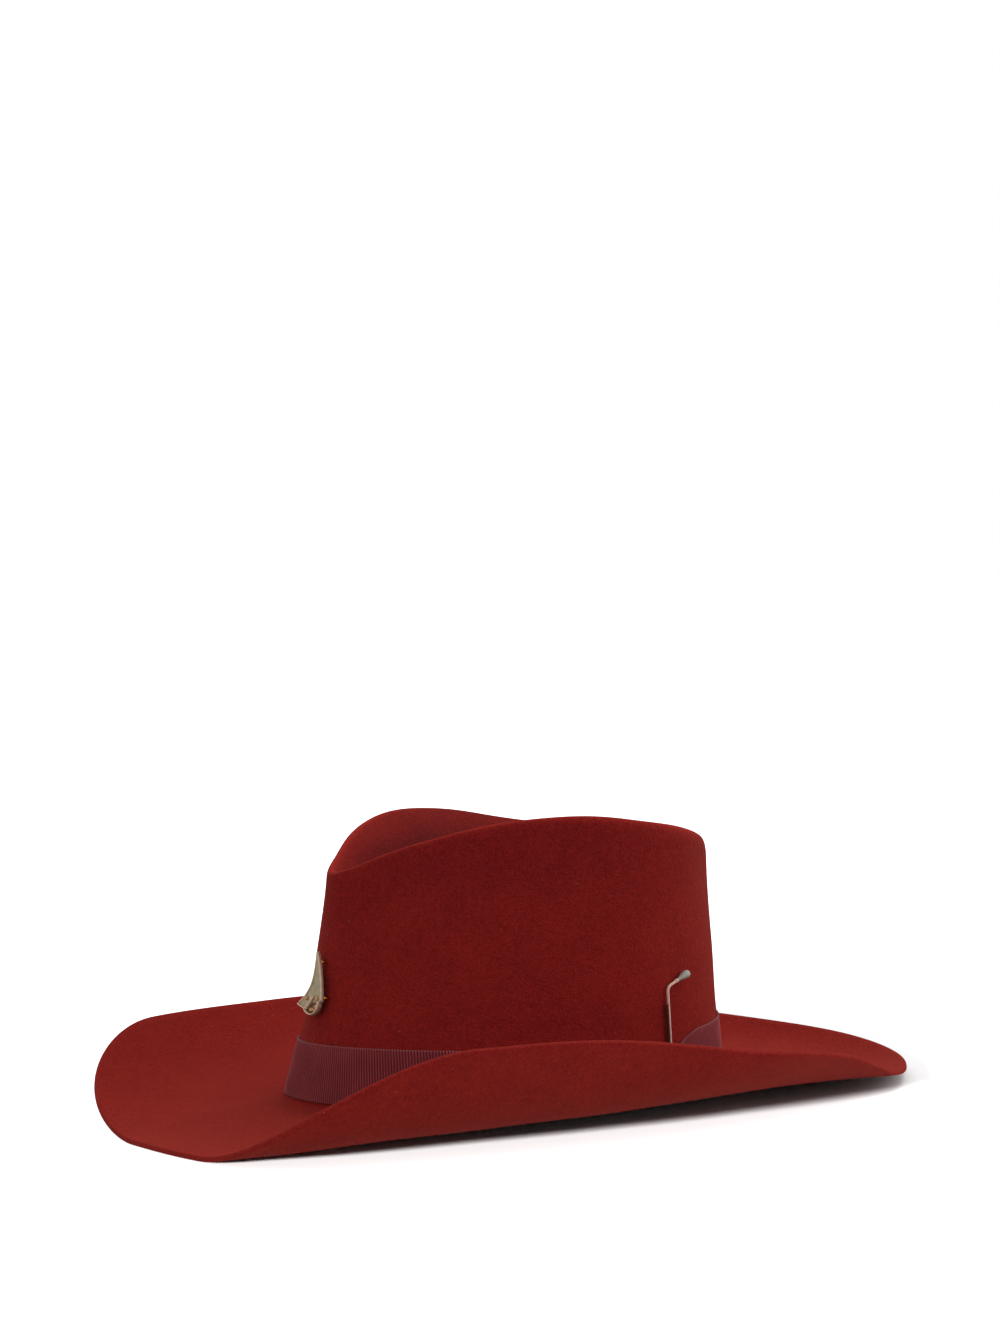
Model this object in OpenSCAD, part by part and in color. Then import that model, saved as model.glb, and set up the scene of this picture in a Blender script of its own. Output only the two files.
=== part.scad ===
/* [Crown] */
// Outside length of the crown at the fold into the brim, front to back
crown_length = 205; // [190:0.5:225]
// Outside width of the crown at the fold into the brim
crown_width = 171; // [155:0.5:190]
// Height of the crest above the fold, where it is tallest
crown_height = 134; // [120:0.5:145]
// Length of the crest loop, front to back
crest_length = 184; // [165:0.5:190]
// Width of the crest loop before the front is pinched
crest_width = 166; // [150:0.5:172]
// How far the crest loop sits behind the middle of the head opening
crest_shift = 7; // [2:0.5:12]
// How far the crest falls at the front
front_drop = 32.5; // [15:0.5:36]
// How late the crest falls at the front
front_drop_power = 3.8; // [3:0.1:6]
// How far the crest falls at the back
back_drop = 34; // [20:0.5:38]
// How late the crest falls at the back
back_drop_power = 1.8; // [1.4:0.05:3]
// Share of its width that the crest loses at the front pinch
pinch = 0.68; // [0.3:0.01:0.7]
// How close to the front the pinch stays
pinch_power = 2.4; // [1.5:0.05:3]
// Hollowness of the wall at the front, 1 is straight
hollow_front = 1.3; // [1:0.05:1.6]
// Hollowness of the wall at the sides, 1 is straight
hollow_side = 1.55; // [1:0.05:1.8]
// Hollowness of the wall at the back, 1 is straight
hollow_back = 2.4; // [1:0.05:2.4]
// How far below the crest its rounding starts on the wall
crest_round_wall = 10.5; // [8:0.5:14]
// The same at the front, where the crest is sharper
crest_round_front = 6; // [5:0.5:12]
// How far into the dent the rounding of the crest ends
crest_round_dent = 5; // [4:0.5:8]
// Length of the bottom of the centre dent
dent_length = 120; // [100:1:140]
// Height of the bottom of the dent above the fold, at its back end
dent_floor_back = 93; // [85:0.5:100]
// Height of the bottom of the dent above the fold, at its front end
dent_floor_front = 91; // [84:0.5:96]

/* [Brim] */
// Width of the brim at the front
brim_front = 70.5; // [60:0.5:85]
// Width of the brim at the sides
brim_side = 82; // [70:0.5:90]
// Width of the brim at the back
brim_back = 92.5; // [75:0.5:95]
// Extra width at the two squared front corners
brim_corner = 15.5; // [8:0.5:18]
// Loss of width at the two back corners
brim_taper = 11; // [0:0.5:16]
// Height of the edge above the fold, at the front
rim_front = -8.5; // [-14:0.5:0]
// Height of the edge above the fold, on the wearer's left
rim_left = 38.5; // [30:0.5:46]
// Height of the edge above the fold, on the wearer's right
rim_right = 26.5; // [22:0.5:40]
// Height of the edge above the fold, at the back
rim_back = -6; // [-12:0.5:4]
// Angle each side of the front over which the edge stays low
front_flat = 10; // [0:0.5:14]
// Angle from the front at which the sides are fully rolled up
front_turn = 54.5; // [48:0.5:65]
// Angle from the lowest point of the back at which the wearer's left starts to fall
back_turn = 99; // [80:1:110]
// The same on the wearer's right
back_turn_right = 125; // [90:1:140]
// Angle over which the lowest point of the back is rounded
back_soft = 12; // [4:1:16]
// Angle by which the lowest point of the back lies towards the wearer's left
back_yaw = 23; // [0:1:36]
// Height of the wave in the edge behind the wearer's left side
wave = 5; // [0:0.5:8]
// Place of the wave, from the front by the wearer's left
wave_at = 116; // [110:1:130]
// Angle each side of its middle over which the wave fades
wave_turn = 24; // [18:1:40]
// Slope of the brim where it leaves the crown, at the front
slope_front = -9.5; // [-20:0.5:-4]
// Slope of the brim where it leaves the crown, at the sides
slope_side = 8.5; // [2:0.5:12]
// Slope of the brim where it leaves the crown, at the back
slope_back = -10; // [-12:0.5:4]
// How close to the edge the roll of the brim stays
roll_power = 4.5; // [2.5:0.1:5]
// How far the fold lies lower at the sides than at the front and back
fold_dip = 3; // [0:0.5:5]
// Rounding of the fold between crown and brim
fold_round = 3; // [2:0.25:4]

/* [Felt] */
// Thickness of the felt
felt_t = 2.2; // [1.6:0.1:2.8]

/* [Hat band] */
// Height of the upper edge of the band above the fold
band_top = 27; // [24:0.5:32]
// How far its upper edge falls towards the back
band_fall = 2.8; // [0:0.1:4]
// How far its upper edge sags at the stick pin
band_sag = 6; // [0:0.5:8]
// Place of the sag round the crown, from the front by the wearer's left
sag_at = 107; // [100:1:115]
// Angle each side of its middle over which the sag fades
sag_turn = 16; // [12:1:60]
// Thickness of the ribbon
band_t = 0.8; // [0.5:0.05:1]
// Clearance between soft layers
layer_gap = 0.3; // [0.25:0.05:0.4]
// Width of the flat keeper over the join of the band
keeper_w = 16; // [10:1:24]
// Place of the keeper round the crown, from the front by the wearer's left
keeper_at = 262; // [250:1:285]

/* [Sweatband] */
// Height of the leather sweatband
sweat_h = 34; // [28:0.5:38]
// Height of its lower edge above the fold
sweat_low = 3; // [2.5:0.25:5]
// Thickness of the leather
sweat_t = 0.9; // [0.7:0.05:1.1]
// Diameter of the reed along its lower edge
reed_d = 1.8; // [1.4:0.1:2.2]
// Width of the patch over its seam at the back
join_w = 14; // [10:1:20]

/* [Brooch] */
// Place of the brooch round the crown, from the front by the wearer's left
brooch_at = 1; // [-6:0.5:6]
// How far it is turned on the wall, its bow down
brooch_lean = 7; // [0:1:15]
// Height of its post above the fold
brooch_up = 51; // [46:0.5:56]
// Height of the sail
sail_h = 22; // [18:0.5:26]
// Width of the foot of the sail with the bow that it runs out to
sail_w = 19.5; // [18:0.5:26]
// How far the top of the sail lies in from the stern end of its foot
peak_in = 4.5; // [4:0.1:8]
// Width of the top of the sail
peak_w = 0.8; // [0.6:0.1:1.4]
// How deep the bow hangs below the foot
bow_drop = 2.6; // [1.5:0.1:3.5]
// Thickness of the sail plate
sail_t = 1.2; // [1:0.1:1.6]
// Distance of the sail and the hull from the felt
brooch_stand = 2.2; // [1.6:0.1:2.6]
// Diameter of the two studs behind the stern edge of the sail
stud_d = 1.2; // [1:0.1:1.4]
// Length of the hull
hull_l = 13.5; // [13:0.5:18]
// Depth of the hull
hull_h = 5.5; // [4.5:0.25:7]
// How far its keel lies towards the stern
hull_rake = 1; // [0:0.5:3]
// How far its stern stops short of the sail's foot
hull_aft = 0.9; // [0:0.1:2]
// Height of the rim of the hull
hull_t = 2.6; // [2:0.1:3]
// Width of the rim of the hull
hull_rim = 0.6; // [0.5:0.05:1.2]
// Thickness of the plate behind the well of the hull
hull_back = 0.7; // [0.6:0.1:1]
// Diameter of the stones
stone_d = 2.2; // [1.8:0.1:2.6]
// Diameter of the post
post_d = 1.2; // [1:0.05:1.5]
// Length of the post inside the felt's outer face
post_l = 9; // [8.5:0.25:11]
// Clearance round the post
post_gap = 0.2; // [0.15:0.05:0.3]
// Diameter of the clutch that grips the post inside the crown
clutch_d = 9; // [7:0.5:11]
// Height of the clutch
clutch_h = 3.2; // [2.6:0.1:4]
// Clearance between the clutch and the felt
clutch_gap = 0.6; // [0.5:0.05:1]

/* [Stick pin] */
// Place of the stem round the crown, from the front by the wearer's left
stick_at = 108.5; // [104:0.5:114]
// Height of the lower end of the stem above the fold
stick_low = 9; // [8:0.5:12]
// Height of the bend above the fold
stick_bend = 46; // [40:0.5:50]
// Diameter of the stem
stick_d = 1.3; // [1.2:0.1:1.8]
// Angle round the crown from the stem to the head
stick_reach = 6.6; // [6:0.2:10]
// Height of the head above the bend
stick_lift = 4; // [3:0.5:7]
// Diameter of the head
head_d = 3.6; // [3.2:0.1:4.2]
// Clearance between the stem and the felt
stick_gap = 0.6; // [0.5:0.05:0.8]
// How far the pin can be pulled up
stick_travel = 20; // [16:1:24]
// Length of the collar under the head
collar_l = 1.6; // [1.2:0.1:2.4]
// Thickness of the collar over the stem
collar_t = 0.25; // [0.2:0.05:0.5]
// Length of the collar and the neck of the head together
neck_l = 7; // [6:0.1:8]

/* [Hidden] */
$fn = 40;

// Columns of the felt all the way round, and rows of each of its zones
columns = 60;
brim_rows = 9;
fold_rows = 2;
band_rows = 3;
wall_rows = 6;
crest_rows = 5;
dent_rows = 5;
// How far the last ring of the dent stops short of its middle line
dent_stop = 0.94;
// How much more reach the roll takes up than a straight slope would
roll_cost = 1.15;
// Angle over which the two sides of the back blend
back_blend = 40;
// How close to the front its sharper crest stays
front_power = 6;

a = crown_length / 2;
b = crown_width / 2;
step = 360 / columns;
angles = [for (j = [0 : columns - 1]) j * step];

function lerp(p, q, u) = p + (q - p) * u;
function unit(v) = v / norm(v);
function smooth(x, lo, hi) = let (u = max(0, min(1, (x - lo) / (hi - lo)))) u * u * (3 - 2 * u);
function turn(d) = d - 360 * floor((d + 180) / 360);

// Outline of the fold and its outward direction
function oval(t) = [b * sin(t), -a * cos(t)];
function outward(t) = unit([a * sin(t), -b * cos(t), 0]);
function fold_z(t) = -fold_dip * pow(sin(t), 2);
function fold_point(t) = [oval(t)[0], oval(t)[1], fold_z(t)];

// Crest loop of the crown, and the wall that rises to it
function nearness(t) = (1 + cos(t)) / 2;
function crest_z(t) = crown_height - front_drop * pow(nearness(t), front_drop_power)
    - back_drop * pow(1 - nearness(t), back_drop_power);
function crest(t) = [
    crest_width / 2 * sin(t) * (1 - pinch * pow(nearness(t), pinch_power)),
    crest_shift - crest_length / 2 * cos(t),
    crest_z(t)];
function hollow(t) = lerp(cos(t) > 0 ? hollow_front : hollow_back, hollow_side, pow(sin(t), 2));
function wall(t, v) = let (
    low = fold_point(t),
    high = crest(t),
    g = 1 - pow(1 - v, hollow(t)))
    [lerp(low[0], high[0], g), lerp(low[1], high[1], g), lerp(low[2], high[2], v)];
function wall_share(t, h) = h / (crest_z(t) - fold_z(t));
function wall_at(t, h) = wall(t, wall_share(t, h));

// Centre dent, from the crest loop down to its middle line
function dent(t, q) = let (
    high = crest(t),
    mid_y = crest_shift - dent_length / 2 * cos(t),
    floor_z = lerp(dent_floor_back, dent_floor_front, nearness(t)))
    [high[0] * (1 - q), lerp(high[1], mid_y, q), lerp(high[2], floor_z, 1 - pow(1 - q, 2))];
function dent_start(t) = let (
    high = crest(t),
    mid_y = crest_shift - dent_length / 2 * cos(t))
    min(0.6, crest_round_dent / norm([high[0], high[1] - mid_y]));

// Brim, from the fold out to its edge
function brim_w(t) = lerp(cos(t) > 0 ? brim_front : brim_back, brim_side, 1 - abs(cos(t)))
    + (cos(t) > 0 ? brim_corner : -brim_taper) * pow(sin(2 * t), 2);
function rim_z(t) = let (
    side = lerp(rim_right, rim_left, (1 + sin(t)) / 2),
    front = 1 - smooth(abs(turn(t)), front_flat, front_turn),
    past = turn(t - 180 + back_yaw),
    fall = lerp(back_turn, back_turn_right, smooth(past, -back_blend, back_blend)),
    back = 1 - smooth(norm([past, back_soft]), 0, fall),
    swell = wave * (1 - smooth(abs(turn(t - wave_at)), 0, wave_turn)))
    side - (side - rim_front) * front - (side - rim_back) * back + swell;
function brim_slope(t) = lerp(slope_side, cos(t) > 0 ? slope_front : slope_back, pow(cos(t), 2));
function brim_reach(t) = sqrt(pow(brim_w(t), 2) - roll_cost * pow(rim_z(t) - fold_z(t), 2));
function brim(t, u) = let (
    reach = brim_reach(t),
    rise = rim_z(t) - fold_z(t),
    lead = reach * tan(brim_slope(t)))
    fold_point(t) + reach * u * outward(t) + [0, 0, lead * u + (rise - lead) * pow(u, roll_power)];

function bow(p, q, r, s) = pow(1 - s, 2) * p + 2 * s * (1 - s) * q + s * s * r;
function fold_bow(t, s) = bow(brim(t, fold_round / brim_reach(t)), fold_point(t), wall_at(t, fold_round), s);
function crest_round(t) = lerp(crest_round_wall, crest_round_front, pow(nearness(t), front_power));
function wall_end(t) = 1 - wall_share(t, crest_round(t));
function crest_bow(t, s) = bow(wall(t, wall_end(t)), crest(t), dent(t, dent_start(t)), s);

// Outer face of the felt at angle t, one point per row from the edge of the brim to the dent
function felt_column(t) = concat(
    [for (i = [0 : brim_rows - 1]) brim(t, lerp(1, fold_round / brim_reach(t), i / (brim_rows - 1)))],
    [for (i = [1 : fold_rows]) fold_bow(t, i / (fold_rows + 1))],
    [for (i = [0 : band_rows]) wall_at(t, lerp(fold_round, band_top, i / band_rows))],
    [for (i = [1 : wall_rows]) wall(t, lerp(wall_share(t, band_top), wall_end(t), i / wall_rows))],
    [for (i = [1 : crest_rows]) crest_bow(t, i / crest_rows)],
    [for (i = [1 : dent_rows]) dent(t, lerp(dent_start(t), dent_stop, i / dent_rows))]);
outer = [for (t = angles) felt_column(t)];
rows = len(outer[0]);

function grid_normal(g, j, k) = let (
    n = len(g),
    along = g[(j + 1) % n][k] - g[(j + n - 1) % n][k],
    up = g[j][min(k + 1, rows - 1)] - g[j][max(k - 1, 0)])
    unit(cross(along, up));
inner = [for (j = [0 : columns - 1]) [for (k = [0 : rows - 1]) outer[j][k] - felt_t * grid_normal(outer, j, k)]];

// The origin lies under the middle of the hat, on the surface that it rests on
function least(g, i) = min([for (col = g) for (p = col) p[i]]);
function most(g, i) = max([for (col = g) for (p = col) p[i]]);
function mean(g, i) = (least(g, i) + most(g, i)) / 2;
felt_points = concat(outer, inner);
rest = [mean(felt_points, 0), mean(felt_points, 1), least(felt_points, 2)];

// Band, keeper and sweatband lie on the wall at set distances from its outer face
band_in = layer_gap;
band_out = band_in + band_t;
keeper_in = band_out + layer_gap;
keeper_out = keeper_in + band_t;
sweat_out = -felt_t - layer_gap;
sweat_in = sweat_out - sweat_t;
join_out = sweat_in - layer_gap;
join_in = join_out - sweat_t;
function half_angle(t, w) = w / 2 / norm([b * cos(t), a * sin(t)]) * 180 / PI;
keeper_half = half_angle(keeper_at, keeper_w);
join_half = half_angle(180, join_w);
strip_parts = 4;

// The stem is a straight line that stays off the wall over its whole travel
stick_off = stick_gap + stick_d / 2;
stick_high = stick_bend + stick_travel;
stem_foot = wall_at(stick_at, stick_low) + stick_off * outward(stick_at);
stem_aim = wall_at(stick_at, stick_high) + stick_off * outward(stick_at);
stem_way = unit(stem_aim - stem_foot);
stem_top = stem_foot + stem_way * (stick_bend - stick_low);
head_off = stick_off + head_d / 2;
head_at = stick_at + stick_reach;
head_spot = wall_at(head_at, stick_bend + stick_lift) + head_off * outward(head_at);
arm_way = unit(head_spot - stem_top);
arm_l = norm(head_spot - stem_top);
// The bend is a little thicker than the wire
knuckle_d = stick_d * 1.13;
collar_d = stick_d + 2 * collar_t;
// The band bridges the stem like a low tent, one column of the felt each way
tent_rise = stick_off + stick_d / 2 + layer_gap;
tent_half = 7;
function band_lift(t) = tent_rise * max(0, 1 - abs(turn(t - stick_at)) / tent_half);

function strip_point(t, h, off, lift) = wall_at(t, h) + (off + (lift ? band_lift(t) : 0)) * outward(t);
function strip_grid(ts, hs, off) = [for (t = ts) [for (h = hs) strip_point(t, h, off, false)]];
function band_height(t) = band_top - band_fall * (1 - nearness(t))
    - band_sag * (1 - smooth(abs(turn(t - sag_at)), 0, sag_turn));
function band_grid(ts, off, lift) = [for (t = ts) [for (u = spread(0, 1, band_rows))
    strip_point(t, lerp(fold_round, band_height(t), u), off, lift)]];
function spread(lo, hi, n) = [for (i = [0 : n]) lerp(lo, hi, i / n)];

function split(q) = [[q[0], q[1], q[2]], [q[0], q[2], q[3]]];
function all_split(qs) = [for (q = qs) each split(q)];

// Closed ring between two faces with the same columns and rows
module ring_solid(face_out, face_in) {
    n = len(face_out);
    m = len(face_out[0]);
    points = concat([for (c = face_out) each c], [for (c = face_in) each c]);
    function o(j, k) = (j % n) * m + k;
    function i(j, k) = n * m + (j % n) * m + k;
    quads = concat(
        [for (j = [0 : n - 1], k = [0 : m - 2]) [o(j, k), o(j, k + 1), o(j + 1, k + 1), o(j + 1, k)]],
        [for (j = [0 : n - 1], k = [0 : m - 2]) [i(j, k), i(j + 1, k), i(j + 1, k + 1), i(j, k + 1)]],
        [for (j = [0 : n - 1]) [o(j, 0), o(j + 1, 0), i(j + 1, 0), i(j, 0)]],
        [for (j = [0 : n - 1]) [o(j, m - 1), i(j, m - 1), i(j + 1, m - 1), o(j + 1, m - 1)]]);
    polyhedron(points, all_split(quads));
}

// Closed patch between two faces with the same columns and rows
module patch_solid(face_out, face_in) {
    n = len(face_out);
    m = len(face_out[0]);
    points = concat([for (c = face_out) each c], [for (c = face_in) each c]);
    function o(j, k) = j * m + k;
    function i(j, k) = n * m + j * m + k;
    quads = concat(
        [for (j = [0 : n - 2], k = [0 : m - 2]) [o(j, k), o(j, k + 1), o(j + 1, k + 1), o(j + 1, k)]],
        [for (j = [0 : n - 2], k = [0 : m - 2]) [i(j, k), i(j + 1, k), i(j + 1, k + 1), i(j, k + 1)]],
        [for (j = [0 : n - 2]) [o(j, 0), o(j + 1, 0), i(j + 1, 0), i(j, 0)]],
        [for (j = [0 : n - 2]) [o(j, m - 1), i(j, m - 1), i(j + 1, m - 1), o(j + 1, m - 1)]],
        [for (k = [0 : m - 2]) [o(0, k), i(0, k), i(0, k + 1), o(0, k + 1)]],
        [for (k = [0 : m - 2]) [o(n - 1, k), o(n - 1, k + 1), i(n - 1, k + 1), i(n - 1, k)]]);
    polyhedron(points, all_split(quads));
}

// Whole felt, closed along the middle line of the dent on both faces
module felt_solid() {
    n = columns;
    half = n / 2;
    points = concat([for (c = outer) each c], [for (c = inner) each c]);
    function o(j, k) = (j % n) * rows + k;
    function i(j, k) = n * rows + (j % n) * rows + k;
    last = rows - 1;
    quads = concat(
        [for (j = [0 : n - 1], k = [0 : rows - 2]) [o(j, k), o(j, k + 1), o(j + 1, k + 1), o(j + 1, k)]],
        [for (j = [0 : n - 1], k = [0 : rows - 2]) [i(j, k), i(j + 1, k), i(j + 1, k + 1), i(j, k + 1)]],
        [for (j = [0 : n - 1]) [o(j, 0), o(j + 1, 0), i(j + 1, 0), i(j, 0)]],
        [for (j = [1 : half - 2]) [o(j, last), o(n - j, last), o(n - j - 1, last), o(j + 1, last)]],
        [for (j = [1 : half - 2]) [i(j, last), i(j + 1, last), i(n - j - 1, last), i(n - j, last)]]);
    ends = [
        [o(0, last), o(n - 1, last), o(1, last)],
        [o(half, last), o(half - 1, last), o(half + 1, last)],
        [i(0, last), i(1, last), i(n - 1, last)],
        [i(half, last), i(half + 1, last), i(half - 1, last)]];
    polyhedron(points, concat(all_split(quads), ends));
}

// Moves its children to the crown wall: x runs to the wearer's left at the front, y up the wall, z outward
module on_wall(t, h) {
    out = outward(t);
    up = wall_at(t, h + 1) - wall_at(t, h - 1);
    lean = atan2(-(up[0] * out[0] + up[1] * out[1]), up[2]);
    translate(wall_at(t, h)) rotate([0, 0, atan2(out[0], -out[1])]) rotate([90 - lean, 0, 0]) children();
}

// Turns its children from z to a given direction
module along(way) {
    rotate([0, acos(way[2]), atan2(way[1], way[0])]) children();
}

module seated() {
    translate(-rest) children();
}

module felt_body() {
    color("#7a1f1c") seated() difference() {
        felt_solid();
        on_wall(brooch_at, brooch_up) translate([0, 0, -2 * felt_t])
            cylinder(d = post_d + 2 * post_gap, h = 4 * felt_t);
    }
}

module hat_band() {
    ts = [for (t = [0 : step : 360 - step]) if (abs(turn(t - stick_at)) > tent_half + step / 4) t,
        stick_at - tent_half, stick_at, stick_at + tent_half];
    color("#553036") seated()
        ring_solid(band_grid(sorted(ts), band_out, true), band_grid(sorted(ts), band_in, true));
}

function sorted(v) = len(v) < 2 ? v : let (
    p = v[floor(len(v) / 2)])
    concat(sorted([for (x = v) if (x < p) x]), [p], sorted([for (x = v) if (x > p) x]));

module band_keeper() {
    ts = spread(keeper_at - keeper_half, keeper_at + keeper_half, strip_parts);
    color("#4d2a31") seated()
        patch_solid(band_grid(ts, keeper_out, false), band_grid(ts, keeper_in, false));
}

module sweatband() {
    hs = spread(sweat_low, sweat_low + sweat_h, strip_parts);
    color("#5d3a26") seated()
        ring_solid(strip_grid(angles, hs, sweat_out), strip_grid(angles, hs, sweat_in));
}

module sweatband_reed() {
    sides = 6;
    mid = sweat_out - reed_d / 2;
    low = sweat_low - layer_gap - reed_d / 2;
    ring = [for (t = angles) [for (s = [0 : sides - 1]) strip_point(t, low, mid, false)
        + reed_d / 2 * (cos(s * 360 / sides) * outward(t) + [0, 0, sin(s * 360 / sides)])]];
    n = columns;
    function at(j, s) = (j % n) * sides + s % sides;
    quads = [for (j = [0 : n - 1], s = [0 : sides - 1]) [at(j, s), at(j, s + 1), at(j + 1, s + 1), at(j + 1, s)]];
    color("#3c2a22") seated() polyhedron([for (c = ring) each c], all_split(quads));
}

module sweatband_join() {
    ts = spread(180 - join_half, 180 + join_half, strip_parts);
    hs = spread(sweat_low, sweat_low + sweat_h, strip_parts);
    color("#4c2f20") seated()
        patch_solid(strip_grid(ts, hs, join_out), strip_grid(ts, hs, join_in));
}

// Brooch drawn flat, with its post at the origin and its face towards z
module brooch_frame() {
    seated() on_wall(brooch_at, brooch_up) translate([0, 0, layer_gap]) rotate(brooch_lean) children();
}
sail_low = -sail_h * 0.32;
luff_x = sail_w * 0.29;
sail_parts = 10;
bow_parts = 6;
hull_mid = luff_x - hull_aft - hull_l / 2;
hull_parts = 14;
hull_full = 1.15;
strut_w = 0.9;
stud_shares = [0.08, 0.79];
// Places of the stones, as shares of the hull and of the sail
well_stones = [[-0.07, -0.53], [0.1, -0.55], [0.25, -0.36]];
sail_stones = [[-0.6, 0.1], [-0.17, 0.07]];

// Stern edge and bow edge of the sail at a share of its height
function luff(u) = luff_x - peak_in * pow(u, 2.1);
function leech(u) = let (spare = sail_w - peak_in - peak_w)
    luff_x - peak_in - peak_w - spare * (0.2 * (1 - u) + 0.8 * pow(1 - u, 4));
tip = [luff_x - sail_w, sail_low];
heel = [luff_x - sail_w * 0.54, sail_low - bow_drop];
throat = [luff_x - sail_w * 0.4, sail_low];
strut_top = [luff_x - sail_w * 0.27, sail_low + sail_h * 0.11];
sail_edge = concat(
    [for (u = spread(0, 1, sail_parts)) [luff(u), sail_low + sail_h * u]],
    [for (u = spread(1, 0, sail_parts)) [leech(u), sail_low + sail_h * u]],
    [for (i = [1 : bow_parts]) [lerp(tip[0], heel[0], i / bow_parts), sail_low - bow_drop * sin(90 * i / bow_parts)]],
    [throat]);

module brooch_sail() {
    color("#a79f90") brooch_frame() translate([0, 0, brooch_stand]) {
        linear_extrude(sail_t) polygon(sail_edge);
        translate([0, 0, sail_t]) linear_extrude(hull_t - sail_t) intersection() {
            polygon(sail_edge);
            hull() {
                translate(heel) circle(d = strut_w);
                translate(strut_top) circle(d = strut_w);
            }
        }
    }
}

// Outline of the hull, or of its well, which is open towards the sail
function hull_edge(inset) = [for (g = spread(0, 180, hull_parts)) let (deep = pow(sin(g), hull_full))
    [hull_mid + (hull_l / 2 - 1.6 * inset) * cos(g) + hull_rake * deep, sail_low - (hull_h - 1.4 * inset) * deep]];
module hull_face() {
    difference() {
        polygon(hull_edge(0));
        polygon(sail_edge);
    }
}
module hull_well() {
    edge = hull_edge(hull_rim);
    over = [0, hull_rim];
    polygon(concat([edge[0] + over], edge, [edge[hull_parts] + over]));
}

module brooch_hull() {
    color("#b8ae9c") brooch_frame() translate([0, 0, brooch_stand]) {
        linear_extrude(hull_back) hull_face();
        translate([0, 0, hull_back]) linear_extrude(hull_t - hull_back) difference() {
            hull_face();
            hull_well();
        }
    }
}

module brooch_studs() {
    color("#b98a35") brooch_frame()
        for (u = stud_shares)
            translate([luff(u) - stud_d * 0.15, sail_low + sail_h * u, 0]) cylinder(d = stud_d, h = brooch_stand);
}

module stone() {
    rotate_extrude() intersection() {
        circle(d = stone_d);
        square(stone_d);
    }
}

module brooch_stones() {
    color("#c07a20") brooch_frame() {
        for (p = well_stones)
            translate([hull_mid + p[0] * hull_l, sail_low + p[1] * hull_h, brooch_stand + hull_back]) stone();
        for (p = sail_stones)
            translate([luff_x + p[0] * sail_w, sail_low + p[1] * sail_h, brooch_stand + sail_t]) stone();
    }
}

module brooch_post() {
    color("#b98a35") brooch_frame()
        translate([0, 0, -post_l]) cylinder(d = post_d, h = post_l + brooch_stand);
}

module brooch_clutch() {
    brim_h = 0.8;
    top = -layer_gap - felt_t - clutch_gap;
    color("#b9b2a4") brooch_frame() difference() {
        union() {
            translate([0, 0, top - brim_h]) cylinder(d = clutch_d, h = brim_h);
            translate([0, 0, top - clutch_h]) cylinder(d = clutch_d * 0.55, h = clutch_h - brim_h / 2);
        }
        translate([0, 0, top - clutch_h - 1]) cylinder(d = post_d + 2 * post_gap, h = clutch_h + 2);
    }
}

module stick_stem() {
    color("#b9b0a4") seated() {
        translate(stem_foot) along(stem_way) cylinder(d = stick_d, h = norm(stem_top - stem_foot));
        translate(stem_top) sphere(d = knuckle_d);
        translate(stem_top) along(arm_way) cylinder(d = stick_d, h = arm_l - neck_l);
    }
}

module stick_collar() {
    color("#b9b0a4") seated()
        translate(head_spot - neck_l * arm_way) along(arm_way) cylinder(d = collar_d, h = collar_l);
}

module stick_head() {
    bulb = head_d / 2;
    drop = neck_l - collar_l;
    color("#cfc6b8") seated() translate(head_spot - drop * arm_way) along(arm_way) rotate_extrude()
        polygon(concat([[0, 0]], [for (u = spread(0, 1, 6)) [lerp(collar_d * 0.4, bulb, smooth(u, 0, 1)), drop * u]],
            [for (g = spread(0, 90, 8)) [bulb * cos(g), drop + bulb * 1.1 * sin(g)]]));
}

felt_body();
hat_band();
band_keeper();
sweatband();
sweatband_reed();
sweatband_join();
brooch_sail();
brooch_hull();
brooch_studs();
brooch_stones();
brooch_post();
brooch_clutch();
stick_stem();
stick_collar();
stick_head();
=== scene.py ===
"""Felt hat with a ribbed band, a leather sweatband and two pins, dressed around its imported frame."""

import math

import bmesh
import bpy
import numpy as np
from bpy.props import FloatProperty, FloatVectorProperty, PointerProperty
from mathutils import Matrix, Vector


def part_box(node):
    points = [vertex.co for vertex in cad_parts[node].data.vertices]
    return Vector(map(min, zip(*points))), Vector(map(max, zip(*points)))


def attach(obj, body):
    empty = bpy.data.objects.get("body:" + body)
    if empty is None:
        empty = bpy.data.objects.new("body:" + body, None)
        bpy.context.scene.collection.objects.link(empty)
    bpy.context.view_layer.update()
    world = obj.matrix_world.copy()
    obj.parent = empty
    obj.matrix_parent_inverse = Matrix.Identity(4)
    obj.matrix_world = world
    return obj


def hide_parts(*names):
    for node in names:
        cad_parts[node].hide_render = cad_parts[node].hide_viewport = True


bl_info = {
    "name": "Felt Hat",
    "version": (1, 0, 0),
    "blender": (4, 5, 0),
    "location": "View3D > Sidebar > Felt Hat",
    "description": "Builds a pinched felt hat with its band, sweatband, brooch and stick pin",
    "category": "Object",
}

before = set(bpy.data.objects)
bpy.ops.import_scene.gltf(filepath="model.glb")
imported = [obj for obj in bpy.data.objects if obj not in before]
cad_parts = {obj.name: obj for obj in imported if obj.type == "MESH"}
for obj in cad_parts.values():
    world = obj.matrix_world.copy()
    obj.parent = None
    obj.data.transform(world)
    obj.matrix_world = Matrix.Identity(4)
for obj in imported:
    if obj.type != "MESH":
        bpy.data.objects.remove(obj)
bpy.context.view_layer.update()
TURN = 2 * math.pi


def length(name, description, millimetres):
    """A size in metres, written in millimetres."""
    return FloatProperty(name=name, description=description, default=millimetres / 1000, subtype="DISTANCE")


def angle(name, description, degrees):
    """An angle, written in degrees."""
    return FloatProperty(name=name, description=description, default=math.radians(degrees), subtype="ANGLE")


def share(name, description, value):
    """A plain number without a unit."""
    return FloatProperty(name=name, description=description, default=value, precision=3)


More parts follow.
